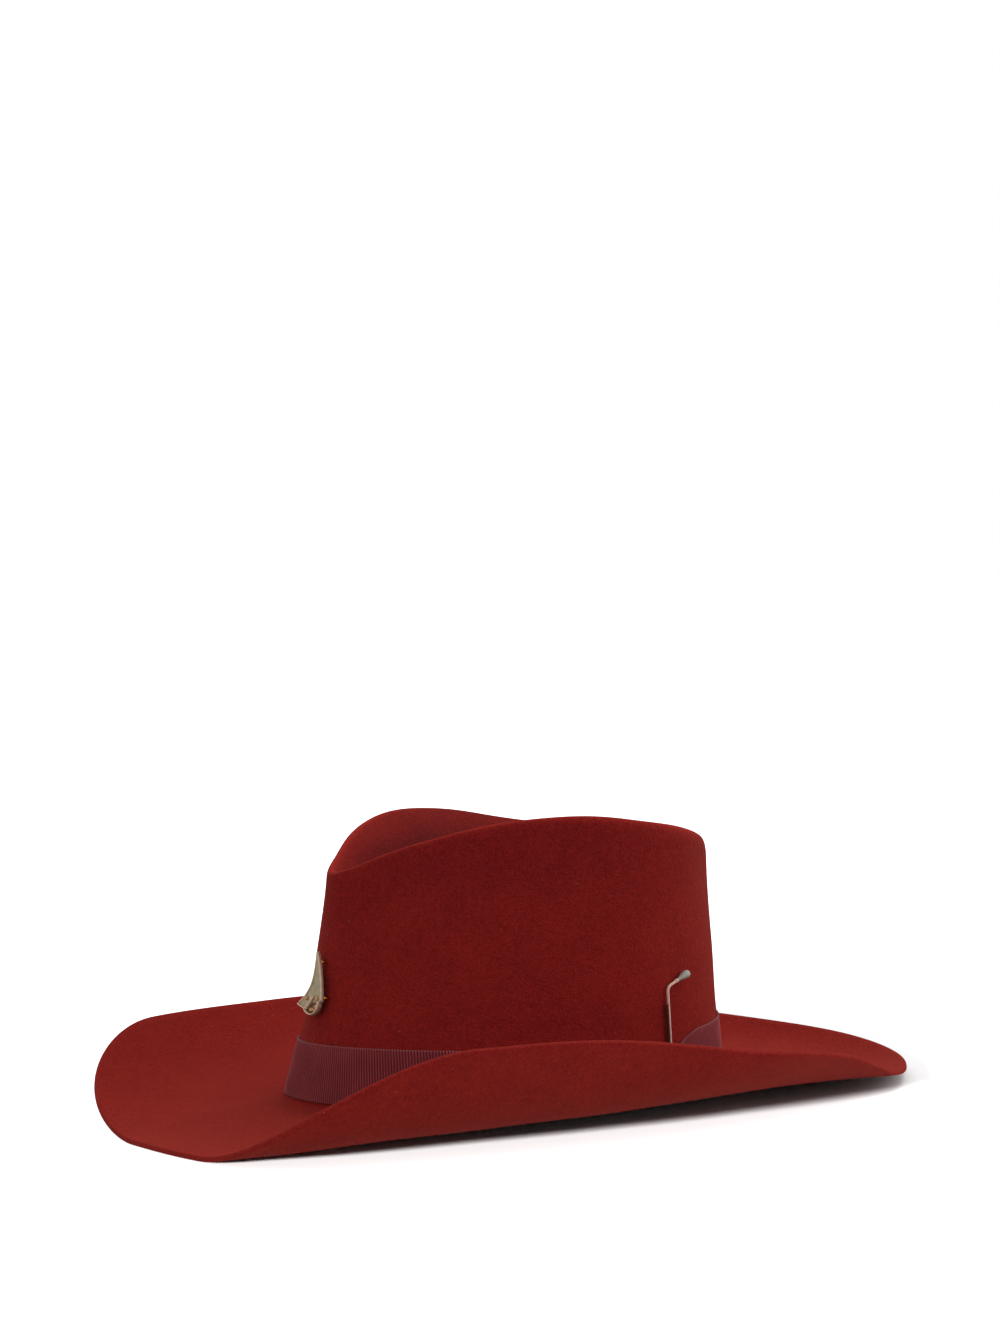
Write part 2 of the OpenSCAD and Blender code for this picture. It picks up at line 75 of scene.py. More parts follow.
def colour(name, description, red, green, blue):
    """A linear colour."""
    return FloatVectorProperty(
        name=name, description=description, default=(red, green, blue), size=3, min=0, max=1, subtype="COLOR"
    )


class CrownSizes(bpy.types.PropertyGroup):
    """Sizes of the crown, the same as those of the frame."""

    length: length("Length", "Outside length at the fold into the brim", 205)
    width: length("Width", "Outside width at the fold into the brim", 171)
    height: length("Height", "Height of the crest above the fold", 134)
    crest_length: length("Crest length", "Length of the crest loop", 184)
    crest_width: length("Crest width", "Width of the crest loop before the pinch", 166)
    crest_shift: length("Crest shift", "How far the crest loop sits towards the back", 7)
    front_drop: length("Front drop", "How far the crest falls at the front", 32.5)
    front_drop_power: share("Front drop power", "How late the crest falls at the front", 3.8)
    back_drop: length("Back drop", "How far the crest falls at the back", 34)
    back_drop_power: share("Back drop power", "How late the crest falls at the back", 1.8)
    pinch: share("Pinch", "Share of its width that the crest loses at the front", 0.68)
    pinch_power: share("Pinch power", "How close to the front the pinch stays", 2.4)
    hollow_front: share("Front hollow", "Hollowness of the wall at the front", 1.3)
    hollow_side: share("Side hollow", "Hollowness of the wall at the sides", 1.55)
    hollow_back: share("Back hollow", "Hollowness of the wall at the back", 2.4)
    round_wall: length("Crest round, wall", "Where the rounding of the crest starts", 10.5)
    round_front: length("Crest round, front", "The same at the front, where the crest is sharper", 6)
    front_power: share("Front power", "How close to the front its sharper crest stays", 6)
    round_dent: length("Crest round, dent", "Where the rounding of the crest ends", 5)
    dent_length: length("Dent length", "Length of the bottom of the dent", 120)
    floor_back: length("Dent floor, back", "Height of the dent's bottom at its back end", 93)
    floor_front: length("Dent floor, front", "Height of the dent's bottom at its front end", 91)


class BrimSizes(bpy.types.PropertyGroup):
    """Sizes of the brim, the same as those of the frame."""

    front: length("Front", "Width at the front", 70.5)
    side: length("Side", "Width at the sides", 82)
    back: length("Back", "Width at the back", 92.5)
    corner: length("Corner", "Extra width at the squared front corners", 15.5)
    taper: length("Taper", "Loss of width at the back corners", 11)
    rim_front: length("Front edge", "Height of the edge at the front", -8.5)
    rim_left: length("Left edge", "Height of the edge on the wearer's left", 38.5)
    rim_right: length("Right edge", "Height of the edge on the wearer's right", 26.5)
    rim_back: length("Back edge", "Height of the edge at the back", -6)
    front_flat: angle("Front flat", "Angle over which the front edge stays low", 10)
    front_turn: angle("Front turn", "Angle at which the sides are fully up", 54.5)
    back_turn: angle("Back turn", "Angle at which the sides start to fall", 99)
    back_turn_right: angle("Back turn, right", "The same on the wearer's right", 125)
    back_blend: angle("Back blend", "Angle over which the two sides of the back blend", 40)
    back_soft: angle("Back soft", "Angle over which the low point of the back is rounded", 12)
    back_yaw: angle("Back yaw", "How far the back's low point lies to the left", 23)
    wave: length("Wave", "Height of the wave in the edge behind the left side", 5)
    wave_at: angle("Wave place", "Place of the wave", 116)
    wave_turn: angle("Wave turn", "Angle each side over which the wave fades", 24)
    slope_front: angle("Front slope", "Slope at the crown, front", -9.5)
    slope_side: angle("Side slope", "Slope at the crown, sides", 8.5)
    slope_back: angle("Back slope", "Slope at the crown, back", -10)
    roll_power: share("Roll power", "How close to the edge the roll stays", 4.5)
    roll_cost: share("Roll cost", "How much more reach the roll takes up than a slope", 1.15)
    fold_dip: length("Fold dip", "How far the fold lies lower at the sides", 3)
    fold_round: length("Fold round", "Rounding of the fold", 3)
    felt: length("Felt", "Thickness of the felt", 2.2)
    waver: length("Waver", "Unevenness of the hand-shaped felt", 0.5)


class BandSizes(bpy.types.PropertyGroup):
    """Sizes of the ribbon and its keeper."""

    top: length("Top", "Height of the upper edge above the fold", 27)
    fall: length("Fall", "How far the upper edge falls towards the back", 2.8)
    sag: length("Sag", "How far the upper edge sags at the stick pin", 6)
    sag_at: angle("Sag place", "Place of the sag round the crown", 107)
    sag_turn: angle("Sag turn", "Angle each side over which the sag fades", 16)
    thickness: length("Thickness", "Thickness of the ribbon", 0.8)
    gap: length("Gap", "Clearance between soft layers", 0.3)
    rib_pitch: length("Rib pitch", "Distance from rib to rib", 1.35)
    rib_depth: length("Rib depth", "Height of a rib", 0.22)
    keeper_width: length("Keeper width", "Width of the flat keeper", 16)
    keeper_at: angle("Keeper place", "Place of the keeper round the crown", 262)
    tent_half: angle("Tent", "Half the angle over which the ribbon bridges the stem", 7)


class SweatSizes(bpy.types.PropertyGroup):
    """Sizes of the leather sweatband."""

    height: length("Height", "Height of the leather", 34)
    low: length("Low edge", "Height of the lower edge above the fold", 3)
    thickness: length("Thickness", "Thickness of the leather", 0.9)
    reed: length("Reed", "Diameter of the reed", 1.8)
    join_width: length("Join width", "Width of the patch over the seam", 14)
    stitch_pitch: length("Stitch pitch", "Distance from stitch to stitch", 4)


class BroochSizes(bpy.types.PropertyGroup):
    """Sizes of the brooch."""

    at: angle("Place", "Place round the crown", 1)
    lean: angle("Lean", "How far it is turned on the wall, its bow down", 7)
    up: length("Height", "Height of the post above the fold", 51)
    sail_height: length("Sail height", "Height of the sail", 22)
    sail_width: length("Sail width", "Width of the foot of the sail with its bow", 19.5)
    peak_in: length("Peak in", "How far the top of the sail lies in from the stern end of its foot", 4.5)
    peak_width: length("Peak width", "Width of the top of the sail", 0.8)
    bow_drop: length("Bow drop", "How deep the bow hangs below the foot", 2.6)
    sail_thickness: length("Sail thickness", "Thickness of the sail plate", 1.2)
    stand: length("Stand", "Distance of the sail and the hull from the felt", 2.2)
    stud: length("Stud", "Diameter of the studs behind the sail", 1.2)
    hull_length: length("Hull length", "Length of the hull", 13.5)
    hull_height: length("Hull height", "Depth of the hull", 5.5)
    hull_rake: length("Hull rake", "How far the keel lies towards the stern", 1)
    hull_aft: length("Hull aft", "How far the stern stops short of the sail's foot", 0.9)
    hull_full: share("Hull fullness", "How sharp the keel is", 1.15)
    hull_thickness: length("Hull thickness", "Height of the hull's rim", 2.6)
    hull_rim: length("Hull rim", "Width of the hull's rim", 0.6)
    hull_back: length("Hull back", "Thickness of the plate behind the well", 0.7)
    stone: length("Stone", "Diameter of the stones", 2.2)


class StickSizes(bpy.types.PropertyGroup):
    """Sizes of the stick pin."""

    at: angle("Place", "Place round the crown", 108.5)
    low: length("Low end", "Height of the lower end above the fold", 9)
    bend: length("Bend", "Height of the bend above the fold", 46)
    wire: length("Wire", "Diameter of the stem", 1.3)
    reach: angle("Reach", "Angle round the crown from the stem to the head", 6.6)
    lift: length("Lift", "Height of the head above the bend", 4)
    head: length("Head", "Diameter of the head", 3.6)
    gap: length("Gap", "Clearance between the stem and the felt", 0.6)
    travel: length("Travel", "How far the stem slides up", 20)
    collar: length("Collar", "Length of the collar", 1.6)
    collar_thickness: length("Collar thickness", "Thickness of the collar over the stem", 0.25)
    neck: length("Neck", "Length of the collar and the neck of the head together", 7)


class HatColours(bpy.types.PropertyGroup):
    """Colours of the finishes."""

    felt: colour("Felt", "Face of the nap", 0.335, 0.0205, 0.0155)
    felt_deep: colour("Felt, deep", "Nap seen between the fibres", 0.085, 0.0030, 0.0052)
    lint: colour("Lint", "Stray specks on the nap", 0.30, 0.13, 0.12)
    ribbon: colour("Ribbon", "Crowns of the ribs", 0.32, 0.050, 0.059)
    # Painted shade between the ribs
    ribbon_valley_shade: colour("Ribbon, deep", "Between the ribs", 0.062, 0.007, 0.009)
    picot: colour("Picot", "Loops along the edges of the ribbon", 0.42, 0.16, 0.15)
    leather: colour("Leather", "Sweatband", 0.15, 0.06, 0.03)
    leather_deep: colour("Leather, deep", "Pores of the leather", 0.07, 0.026, 0.014)
    thread: colour("Thread", "Stitches", 0.20, 0.06, 0.05)
    pale_metal: colour("Pale metal", "Edges of the sail and hull", 0.62, 0.44, 0.32)
    sail: colour("Sail", "Face of the sail", 0.345, 0.285, 0.175)
    stick: colour("Stick", "Wire of the stick pin", 0.68, 0.42, 0.35)
    stick_head: colour("Stick head", "Head of the stick pin", 0.33, 0.32, 0.27)
    # Painted shade inside the hull's well
    well: colour("Well", "Inside of the hull", 0.060, 0.030, 0.012)
    # Painted shadow: the dark strip beside the stem
    painted_shade: colour("Tarnish", "Dark edge along the stem", 0.085, 0.022, 0.012)
    gold: colour("Gold", "Studs, post", 0.55, 0.21, 0.018)
    amber: colour("Amber", "Stones", 0.62, 0.26, 0.02)


class StageSizes(bpy.types.PropertyGroup):
    """Camera and floor."""

    photo_width: share("Photo width", "Width of the photograph in pixels", 1000)
    photo_height: share("Photo height", "Height of the photograph in pixels", 1334)
    focal: share("Focal length", "Focal length in pixels", 3277.5)
    azimuth: angle("Azimuth", "Camera's place round the hat, from the front", 57)
    elevation: angle("Elevation", "Camera's height as an angle", 6.82)
    roll: angle("Roll", "Camera's roll", -2.74)
    distance: length("Distance", "From the camera to the aim point", 1471.6)
    aim_up: length("Aim height", "Height of the aim point above the fold", 40)
    aim_x: share("Aim column", "Photo column of the aim point", 485.2)
    aim_y: share("Aim row", "Photo row of the aim point", 989.2)
    floor: length("Floor", "Length of the floor's sides", 40000)


class HatSettings(bpy.types.PropertyGroup):
    """All sizes and colours of the hat."""

    crown: PointerProperty(type=CrownSizes)
    brim: PointerProperty(type=BrimSizes)
    band: PointerProperty(type=BandSizes)
    sweat: PointerProperty(type=SweatSizes)
    brooch: PointerProperty(type=BroochSizes)
    stick: PointerProperty(type=StickSizes)
    colours: PointerProperty(type=HatColours)
    stage: PointerProperty(type=StageSizes)


def lerp(low, high, u):
    """The value at a share u of the way from low to high."""
    return low + (high - low) * u


def smooth(x, low, high):
    """Zero up to low and one from high on, with a soft step between them."""
    u = np.clip((x - low) / (high - low), 0, 1)
    return u * u * (3 - 2 * u)


def full_turn(steps):
    """Angles of a full turn in equal steps, without its end."""
    return np.linspace(0, TURN, steps + 1)[:-1]


def nearness(t):
    """One at the front of the hat, falling to zero at its back."""
    return (1 + np.cos(t)) / 2


def wrapped(t):
    """An angle brought to within half a turn of zero."""
    return (t + math.pi) % TURN - math.pi


def unit(v):
    return v / np.linalg.norm(v, axis=-1, keepdims=True)


def point(x, y, z):
    return np.stack(np.broadcast_arrays(x, y, z), axis=-1).astype(float)


def curved(start, middle, end, s):
    """A point on the curve that leaves start towards middle and arrives at end from there."""
    return (1 - s) ** 2 * start + 2 * s * (1 - s) * middle + s * s * end


class HatForm:
    """The hat's surface: t runs round from the front by the wearer's left."""

    BRIM_ROWS = 40
    FOLD_ROWS = 6
    BAND_ROWS = 8
    WALL_ROWS = 30
    CREST_ROWS = 14
    DENT_ROWS = 20
    # Shares of the way to its middle line at which the dent starts, at most, and stops
    DENT_START = 0.6
    DENT_STOP = 0.97

    def __init__(self, settings):
        self.crown = settings.crown
        self.brim_sizes = settings.brim
        self.band_sizes = settings.band
        self.sweat = settings.sweat
        self.stick = settings.stick
        self.a = self.crown.length / 2
        self.b = self.crown.width / 2
        self.origin = self.find_origin()

    def find_origin(self):
        """Where the frame's origin lies, in the fold's own coordinates."""
        t = full_turn(360)
        outer = self.felt_rows(t)
        both = np.concatenate([outer, outer - self.brim_sizes.felt * grid_normals(outer)], axis=1)
        low, high = both.min(axis=(0, 1)), both.max(axis=(0, 1))
        cad_low, cad_high = (np.array(corner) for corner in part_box("felt_body"))
        middle = (low + high) / 2 - (cad_low + cad_high) / 2
        return np.array([middle[0], middle[1], low[2] - cad_low[2]])

    def outward(self, t):
        return unit(point(self.a * np.sin(t), -self.b * np.cos(t), 0))

    def fold_z(self, t):
        return -self.brim_sizes.fold_dip * np.sin(t) ** 2

    def fold(self, t):
        return point(self.b * np.sin(t), -self.a * np.cos(t), self.fold_z(t))

    def crest_z(self, t):
        c = self.crown
        near = nearness(t)
        front_fall = c.front_drop * near**c.front_drop_power
        back_fall = c.back_drop * (1 - near) ** c.back_drop_power
        return c.height - front_fall - back_fall

    def crest(self, t):
        c = self.crown
        return point(
            c.crest_width / 2 * np.sin(t) * (1 - c.pinch * nearness(t) ** c.pinch_power),
            c.crest_shift - c.crest_length / 2 * np.cos(t),
            self.crest_z(t),
        )

    def wall(self, t, v):
        c = self.crown
        hollow = lerp(np.where(np.cos(t) > 0, c.hollow_front, c.hollow_back), c.hollow_side, np.sin(t) ** 2)
        inward = 1 - (1 - v) ** hollow
        low, high = self.fold(t), self.crest(t)
        return point(
            lerp(low[..., 0], high[..., 0], inward),
            lerp(low[..., 1], high[..., 1], inward),
            lerp(low[..., 2], high[..., 2], v),
        )

    def wall_share(self, t, height):
        return height / (self.crest_z(t) - self.fold_z(t))

    def wall_at(self, t, height):
        return self.wall(t, self.wall_share(t, height))

    def dent_middle(self, t):
        c = self.crown
        floor = lerp(c.floor_back, c.floor_front, nearness(t))
        return point(0, c.crest_shift - c.dent_length / 2 * np.cos(t), floor)

    def dent(self, t, q):
        high, middle = self.crest(t), self.dent_middle(t)
        return point(
            high[..., 0] * (1 - q),
            lerp(high[..., 1], middle[..., 1], q),
            lerp(high[..., 2], middle[..., 2], 1 - (1 - q) ** 2),
        )

    def crest_round(self, t):
        c = self.crown
        return lerp(c.round_wall, c.round_front, nearness(t) ** c.front_power)

    def dent_start(self, t):
        span = np.linalg.norm((self.crest(t) - self.dent_middle(t))[..., :2], axis=-1)
        return np.minimum(self.DENT_START, self.crown.round_dent / span)

    def rim_z(self, t):
        s = self.brim_sizes
        side = lerp(s.rim_right, s.rim_left, (1 + np.sin(t)) / 2)
        front = 1 - smooth(np.abs(wrapped(t)), s.front_flat, s.front_turn)
        past = wrapped(t - math.pi + s.back_yaw)
        fall = lerp(s.back_turn, s.back_turn_right, smooth(past, -s.back_blend, s.back_blend))
        back = 1 - smooth(np.hypot(past, s.back_soft), 0, fall)
        swell = s.wave * (1 - smooth(np.abs(wrapped(t - s.wave_at)), 0, s.wave_turn))
        return side - (side - s.rim_front) * front - (side - s.rim_back) * back + swell

    def brim_reach(self, t):
        s = self.brim_sizes
        ahead = np.cos(t) > 0
        width = lerp(np.where(ahead, s.front, s.back), s.side, 1 - np.abs(np.cos(t)))
        width = width + np.where(ahead, s.corner, -s.taper) * np.sin(2 * t) ** 2
        return np.sqrt(width**2 - s.roll_cost * (self.rim_z(t) - self.fold_z(t)) ** 2)

    def brim(self, t, u):
        s = self.brim_sizes
        reach = self.brim_reach(t)
        rise = self.rim_z(t) - self.fold_z(t)
        slope = lerp(s.slope_side, np.where(np.cos(t) > 0, s.slope_front, s.slope_back), np.cos(t) ** 2)
        lead = reach * np.tan(slope)
        out = (reach * u)[..., None] * self.outward(t)
        return self.fold(t) + out + point(0, 0, lead * u + (rise - lead) * u**s.roll_power)

    def felt_rows(self, t):
        """Outer face of the felt, columns by rows, from the edge of the brim to the dent."""
        s = self.brim_sizes
        start = s.fold_round / self.brim_reach(t)
        wall_end = 1 - self.wall_share(t, self.crest_round(t))
        band_end = self.wall_share(t, self.band_sizes.top)
        dent_start = self.dent_start(t)
        rows = [self.brim(t, lerp(1, start, u)) for u in np.linspace(0, 1, self.BRIM_ROWS)]
        for u in np.linspace(0, 1, self.FOLD_ROWS + 2)[1:-1]:
            rows.append(curved(self.brim(t, start), self.fold(t), self.wall_at(t, s.fold_round), u))
        for u in np.linspace(0, 1, self.BAND_ROWS + 1):
            rows.append(self.wall_at(t, lerp(s.fold_round, self.band_sizes.top, u)))
        for u in np.linspace(0, 1, self.WALL_ROWS + 1)[1:]:
            rows.append(self.wall(t, lerp(band_end, wall_end, u)))
        for u in np.linspace(0, 1, self.CREST_ROWS + 1)[1:]:
            rows.append(curved(self.wall(t, wall_end), self.crest(t), self.dent(t, dent_start), u))
        for u in np.linspace(0, 1, self.DENT_ROWS + 1)[1:]:
            rows.append(self.dent(t, lerp(dent_start, self.DENT_STOP, u)))
        return np.stack(rows, axis=1)

    def on_frame(self, points):
        """Points of the fold's own coordinates, in the frame."""
        return points - self.origin

    def stem_rise(self):
        """How far the ribbon stands off the felt over the stem."""
        return self.stick.gap + self.stick.wire + self.band_sizes.gap

    def band_lift(self, t):
        off = np.abs(wrapped(t - self.stick.at)) / self.band_sizes.tent_half
        return self.stem_rise() * (1 - smooth(off, 0, 1))

    def band_height(self, t):
        """Height of the ribbon's upper edge."""
        s = self.band_sizes
        level = s.top - s.fall * (1 - nearness(t))
        return level - s.sag * (1 - smooth(np.abs(wrapped(t - s.sag_at)), 0, s.sag_turn))

    def against_wall(self, t, height, off):
        return self.wall_at(t, height) + np.asarray(off)[..., None] * self.outward(t)

    def arc_rate(self, t):
        """Distance along the fold for each radian."""
        return np.hypot(self.b * np.cos(t), self.a * np.sin(t))

    def even_angles(self, number):
        """Angles that divide the fold into equal lengths."""
        steps = 3600
        t = np.linspace(0, TURN, steps + 1)
        rate = self.arc_rate(t)
        run = np.concatenate([[0], np.cumsum((rate[1:] + rate[:-1]) / 2 * np.diff(t))])
        return np.interp(np.arange(number) / number * run[-1], run, t), run[-1]

    def wall_matrix(self, t, height):
        """Frame of a piece on the wall: x to the wearer's left at the front, y up the wall, z outward."""
        nudge = 0.001
        out = self.outward(np.array(t))
        up = self.wall_at(np.array(t), height + nudge) - self.wall_at(np.array(t), height - nudge)
        lean = math.atan2(-float(up @ out), float(up[2]))
        place = Matrix.Translation(self.on_frame(self.wall_at(np.array(t), height)))
        turn = Matrix.Rotation(math.atan2(out[0], -out[1]), 4, "Z")
        return place @ turn @ Matrix.Rotation(math.pi / 2 - lean, 4, "X")


def direction(azimuth, elevation):
    """Way from the hat to a place round it, counted from the front by the wearer's left."""
    level = math.cos(elevation)
    return Vector((math.sin(azimuth) * level, -math.cos(azimuth) * level, math.sin(elevation)))


def turned(first, second, by):
    """Two directions at right angles, both turned in their plane from the first towards the second."""
    return first * math.cos(by) + second * math.sin(by), second * math.cos(by) - first * math.sin(by)


def grid_normals(grid):
    """Outward directions of a face that is closed along its columns."""
    along = np.roll(grid, -1, axis=0) - np.roll(grid, 1, axis=0)
    up = np.gradient(grid, axis=1)
    return unit(np.cross(along, up))


def hat_form():
    return HatForm(bpy.context.scene.felt_hat)


def new_object(name, vertices, faces):
    mesh = bpy.data.meshes.new(name)
    mesh.from_pydata([tuple(v) for v in vertices], [], faces)
    mesh.validate()
    piece = bpy.data.objects.new(name, mesh)
    bpy.context.scene.collection.objects.link(piece)
    face_outward(piece)
    return piece


def face_outward(piece):
    """Turns all faces outward and shades them smooth."""
    shaped = bmesh.new()
    shaped.from_mesh(piece.data)
    bmesh.ops.recalc_face_normals(shaped, faces=shaped.faces)
    shaped.to_mesh(piece.data)
    shaped.free()
    piece.data.shade_smooth()


def grid_faces(columns, rows, close_columns, close_rows):
    """Quads of a grid whose points are stored column by column."""
    faces = []
    for j in range(columns if close_columns else columns - 1):
        for k in range(rows if close_rows else rows - 1):
            right, above = (j + 1) % columns, (k + 1) % rows
            faces.append((j * rows + k, right * rows + k, right * rows + above, j * rows + above))
    return faces


def grid_object(name, grid, close_columns=True, close_rows=True, extra=()):
    columns, rows = grid.shape[:2]
    faces = grid_faces(columns, rows, close_columns, close_rows) + list(extra)
    return new_object(name, grid.reshape(-1, 3), faces)


def store_values(piece, name, values):
    """Keeps one number per vertex for the material."""
    layer = piece.data.attributes.new(name, "FLOAT", "POINT")
    layer.data.foreach_set("value", np.asarray(values, np.float32).ravel())


def lathe(name, profile, segments):
    """Round piece about z from (radius, height) points, closed flat at both ends."""
    turns = full_turn(segments)
    grid = np.array([[(r * math.cos(g), r * math.sin(g), z) for r, z in profile] for g in turns])
    rows = len(profile)
    caps = [tuple(j * rows + k for j in range(segments)) for k in (0, rows - 1)]
    return grid_object(name, grid, True, False, caps)


def loft(name, loops):
    """Closed piece through loops with the same number of points."""
    grid = np.array(loops)
    rows, sides = grid.shape[:2]
    caps = [tuple(range(sides)), tuple((rows - 1) * sides + i for i in range(sides))]
    return grid_object(name, grid, False, True, caps)


def tube(name, path, radii, sides=14):
    """Round wire along a path, with a radius for each of its points."""
    # No path starts out this way
    askew = (0.3, 0.5, 0.8)
    path = np.array(path, float)
    ways = unit(np.gradient(path, axis=0))
    side = unit(np.cross(ways[0], askew))
    turns = full_turn(sides)
    rings = []
    for spot, way, radius in zip(path, ways, radii):
        side = unit(side - way * (side @ way))
        other = np.cross(way, side)
        rings.append([spot + radius * (math.cos(g) * side + math.sin(g) * other) for g in turns])
    return loft(name, rings)


def dished_ends(path, radius):
    """A path and its radii whose ends turn back in to a small ring."""
    path = np.array(path, float)
    first, last = unit(path[1] - path[0]), unit(path[-1] - path[-2])
    turns = np.radians(np.linspace(10, 90, 4))
    start = [path[0] + first * radius * (1 - math.sin(g)) for g in turns]
    end = [path[-1] - last * radius * (1 - math.sin(g)) for g in turns[::-1]]
    caps = [radius * math.sin(g) for g in turns]
    inner = path[1:-1]
    return np.concatenate([start, inner, end]), caps + [radius] * len(inner) + caps[::-1]


def rail(name, line, half, low, high):
    """Bar with softened upper edges along a flat line."""
    way = unit(np.gradient(line, axis=0))
    across = np.stack([-way[:, 1], way[:, 0]], axis=1)
    shoulder = lerp(low, high, 0.75)
    top = 0.6
    section = ((-1, low), (1, low), (1, shoulder), (top, high), (-top, high), (-1, shoulder))
    loops = []
    for spot, side in zip(line, across):
        loops.append([(*(spot + k * half * side), z) for k, z in section])
    return loft(name, loops)


def joined(name, pieces):
    """One object made of several."""
    bpy.ops.object.select_all(action="DESELECT")
    for piece in pieces:
        piece.select_set(True)
    bpy.context.view_layer.objects.active = pieces[0]
    bpy.ops.object.join()
    pieces[0].name = name
    pieces[0].data.name = name
    return pieces[0]


def placed(piece, matrix):
    piece.data.transform(matrix)
    return piece


def finished(piece, body, slot, material, *nodes):
    """Gives a piece its finish, the body it rides on and the solids that it stands for."""
    piece.data.materials.clear()
    piece.data.materials.append(material)
    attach(piece, body)
    if nodes:
        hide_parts(*nodes)
    return piece


def new_group(name, inputs, outputs):
    """An empty shader group with its sockets; returns the group and its two ends."""
    group = bpy.data.node_groups.new(name, "ShaderNodeTree")
    for socket, kind, default in inputs:
        made = group.interface.new_socket(socket, in_out="INPUT", socket_type=kind)
        if default is not None:
            made.default_value = default
    for socket, kind in outputs:
        group.interface.new_socket(socket, in_out="OUTPUT", socket_type=kind)
    return group, group.nodes.new("NodeGroupInput"), group.nodes.new("NodeGroupOutput")


def mottle_group():
    """Soft blotches between two values."""
    name = "mottle"
    if name in bpy.data.node_groups:
        return bpy.data.node_groups[name]
    group, start, end = new_group(
        name,
        [
            ("Vector", "NodeSocketVector", None),
            ("Scale", "NodeSocketFloat", 100.0),
            ("Detail", "NodeSocketFloat", 3.0),
            ("Low", "NodeSocketFloat", 0.0),
            ("High", "NodeSocketFloat", 1.0),
        ],
        [("Value", "NodeSocketFloat")],
    )
    noise = group.nodes.new("ShaderNodeTexNoise")
    spread = group.nodes.new("ShaderNodeMapRange")
    spread.inputs["From Min"].default_value = 0.3
    spread.inputs["From Max"].default_value = 0.7
    link = group.links.new
    for socket in ("Vector", "Scale", "Detail"):
        link(start.outputs[socket], noise.inputs[socket])
    link(noise.outputs["Fac"], spread.inputs["Value"])
    link(start.outputs["Low"], spread.inputs["To Min"])
    link(start.outputs["High"], spread.inputs["To Max"])
    link(spread.outputs["Result"], end.inputs["Value"])
    return group


class Finish:
    """A material under construction."""

    def __init__(self, name):
        self.material = bpy.data.materials.new(name)
        self.material.use_nodes = True
        self.tree = self.material.node_tree
        self.shader = self.tree.nodes["Principled BSDF"]

    def node(self, kind, **values):
        made = self.tree.nodes.new(kind)
        for key, value in values.items():
            setattr(made, key, value)
        return made

    def link(self, source, target):
        self.tree.links.new(source, target)

    def set(self, **values):
        for key, value in values.items():
            self.shader.inputs[key.replace("_", " ")].default_value = value

    def place(self):
        """The piece's own coordinates, in metres."""
        return self.node("ShaderNodeTexCoord").outputs["Object"]

    def stretched(self, vector, x, y, z):
        made = self.node("ShaderNodeMapping")
        made.inputs["Scale"].default_value = (x, y, z)
        self.link(vector, made.inputs["Vector"])
        return made.outputs["Vector"]

    def mottle(self, vector, scale, low, high, detail=3.0):
        made = self.node("ShaderNodeGroup", node_tree=mottle_group())
        self.link(vector, made.inputs["Vector"])
        made.inputs["Scale"].default_value = scale
        made.inputs["Detail"].default_value = detail
        made.inputs["Low"].default_value = low
        made.inputs["High"].default_value = high
        return made.outputs["Value"]

    def specks(self, vector, scale, size, weight):
        """Sparse small dots, only where a wider pattern is high."""
        wider, rare_from = 0.6 * scale, 0.7
        cells = self.node("ShaderNodeTexVoronoi")
        cells.inputs["Scale"].default_value = scale
        self.link(vector, cells.inputs["Vector"])
        dot = self.maths("LESS_THAN", cells.outputs["Distance"], size)
        rare = self.maths("GREATER_THAN", self.mottle(vector, wider, 0.0, 1.0, 1.0), rare_from)
        return self.maths("MULTIPLY", self.maths("MULTIPLY", dot, rare), weight)

    def value(self, name):
        """A number that is stored on the vertices."""
        return self.node("ShaderNodeAttribute", attribute_name=name).outputs["Fac"]

    def maths(self, operation, first, second):
        made = self.node("ShaderNodeMath", operation=operation)
        for socket, given in zip(made.inputs, (first, second)):
            if isinstance(given, (int, float)):
                socket.default_value = given
            else:
                self.link(given, socket)
        return made.outputs[0]

    def weighed(self, start, *layers):
        """A start value with layers added, each times its weight."""
        total = start
        for layer, weight in layers:
            total = self.maths("ADD", total, self.maths("MULTIPLY", layer, weight))
        return total

    def mixed(self, low, high, factor):
        made = self.node("ShaderNodeMix", data_type="RGBA")
        sockets = [s for s in made.inputs if s.type == "RGBA"]
        for socket, given in zip(sockets, (low, high)):
            if isinstance(given, bpy.types.NodeSocket):
                self.link(given, socket)
            else:
                socket.default_value = (*given, 1)
        if isinstance(factor, (int, float)):
            made.inputs["Factor"].default_value = factor
        else:
            self.link(factor, made.inputs["Factor"])
        return next(s for s in made.outputs if s.type == "RGBA")

    def colour(self, source):
        self.link(source, self.shader.inputs["Base Color"])

    def rough(self, source):
        self.link(source, self.shader.inputs["Roughness"])

    def bump(self, height, distance, strength=1.0):
        made = self.node("ShaderNodeBump")
        made.inputs["Distance"].default_value = distance
        made.inputs["Strength"].default_value = strength
        self.link(height, made.inputs["Height"])
        self.link(made.outputs["Normal"], self.shader.inputs["Normal"])


def felt_material(colours):
    """Brushed nap: fine fibres, soft blotches and a few specks of lint, with painted light and shade stored
    row by row.
    """
    made = Finish("felt_nap")
    spot = made.place()
    fibre = made.mottle(spot, 1100, 0.0, 1.0, 4.0)
    grain = made.mottle(spot, 380, 0.0, 1.0, 3.0)
    blotch = made.mottle(spot, 60, 0.0, 1.0, 4.0)
    # Painted light and shade from the stored per-row value: lighter on the brim and along the crest, darker
    # high on the wall and in the dent
    level = made.maths("ADD", made.value("painted_light_and_shade"), 0.205)
    nap = made.weighed(level, (fibre, 0.34), (grain, 0.14), (blotch, 0.11))
    body = made.mixed(colours.felt_deep, colours.felt, nap)
    made.colour(made.mixed(body, colours.lint, made.specks(spot, 170, 0.05, 0.6)))
    made.set(Roughness=0.95, Specular_IOR_Level=0.02)
    made.set(Sheen_Weight=0.12, Sheen_Roughness=0.5, Sheen_Tint=(1.0, 0.28, 0.18, 1))
    made.bump(made.weighed(fibre, (grain, 0.3)), 0.0005, 0.6)
    return made.material


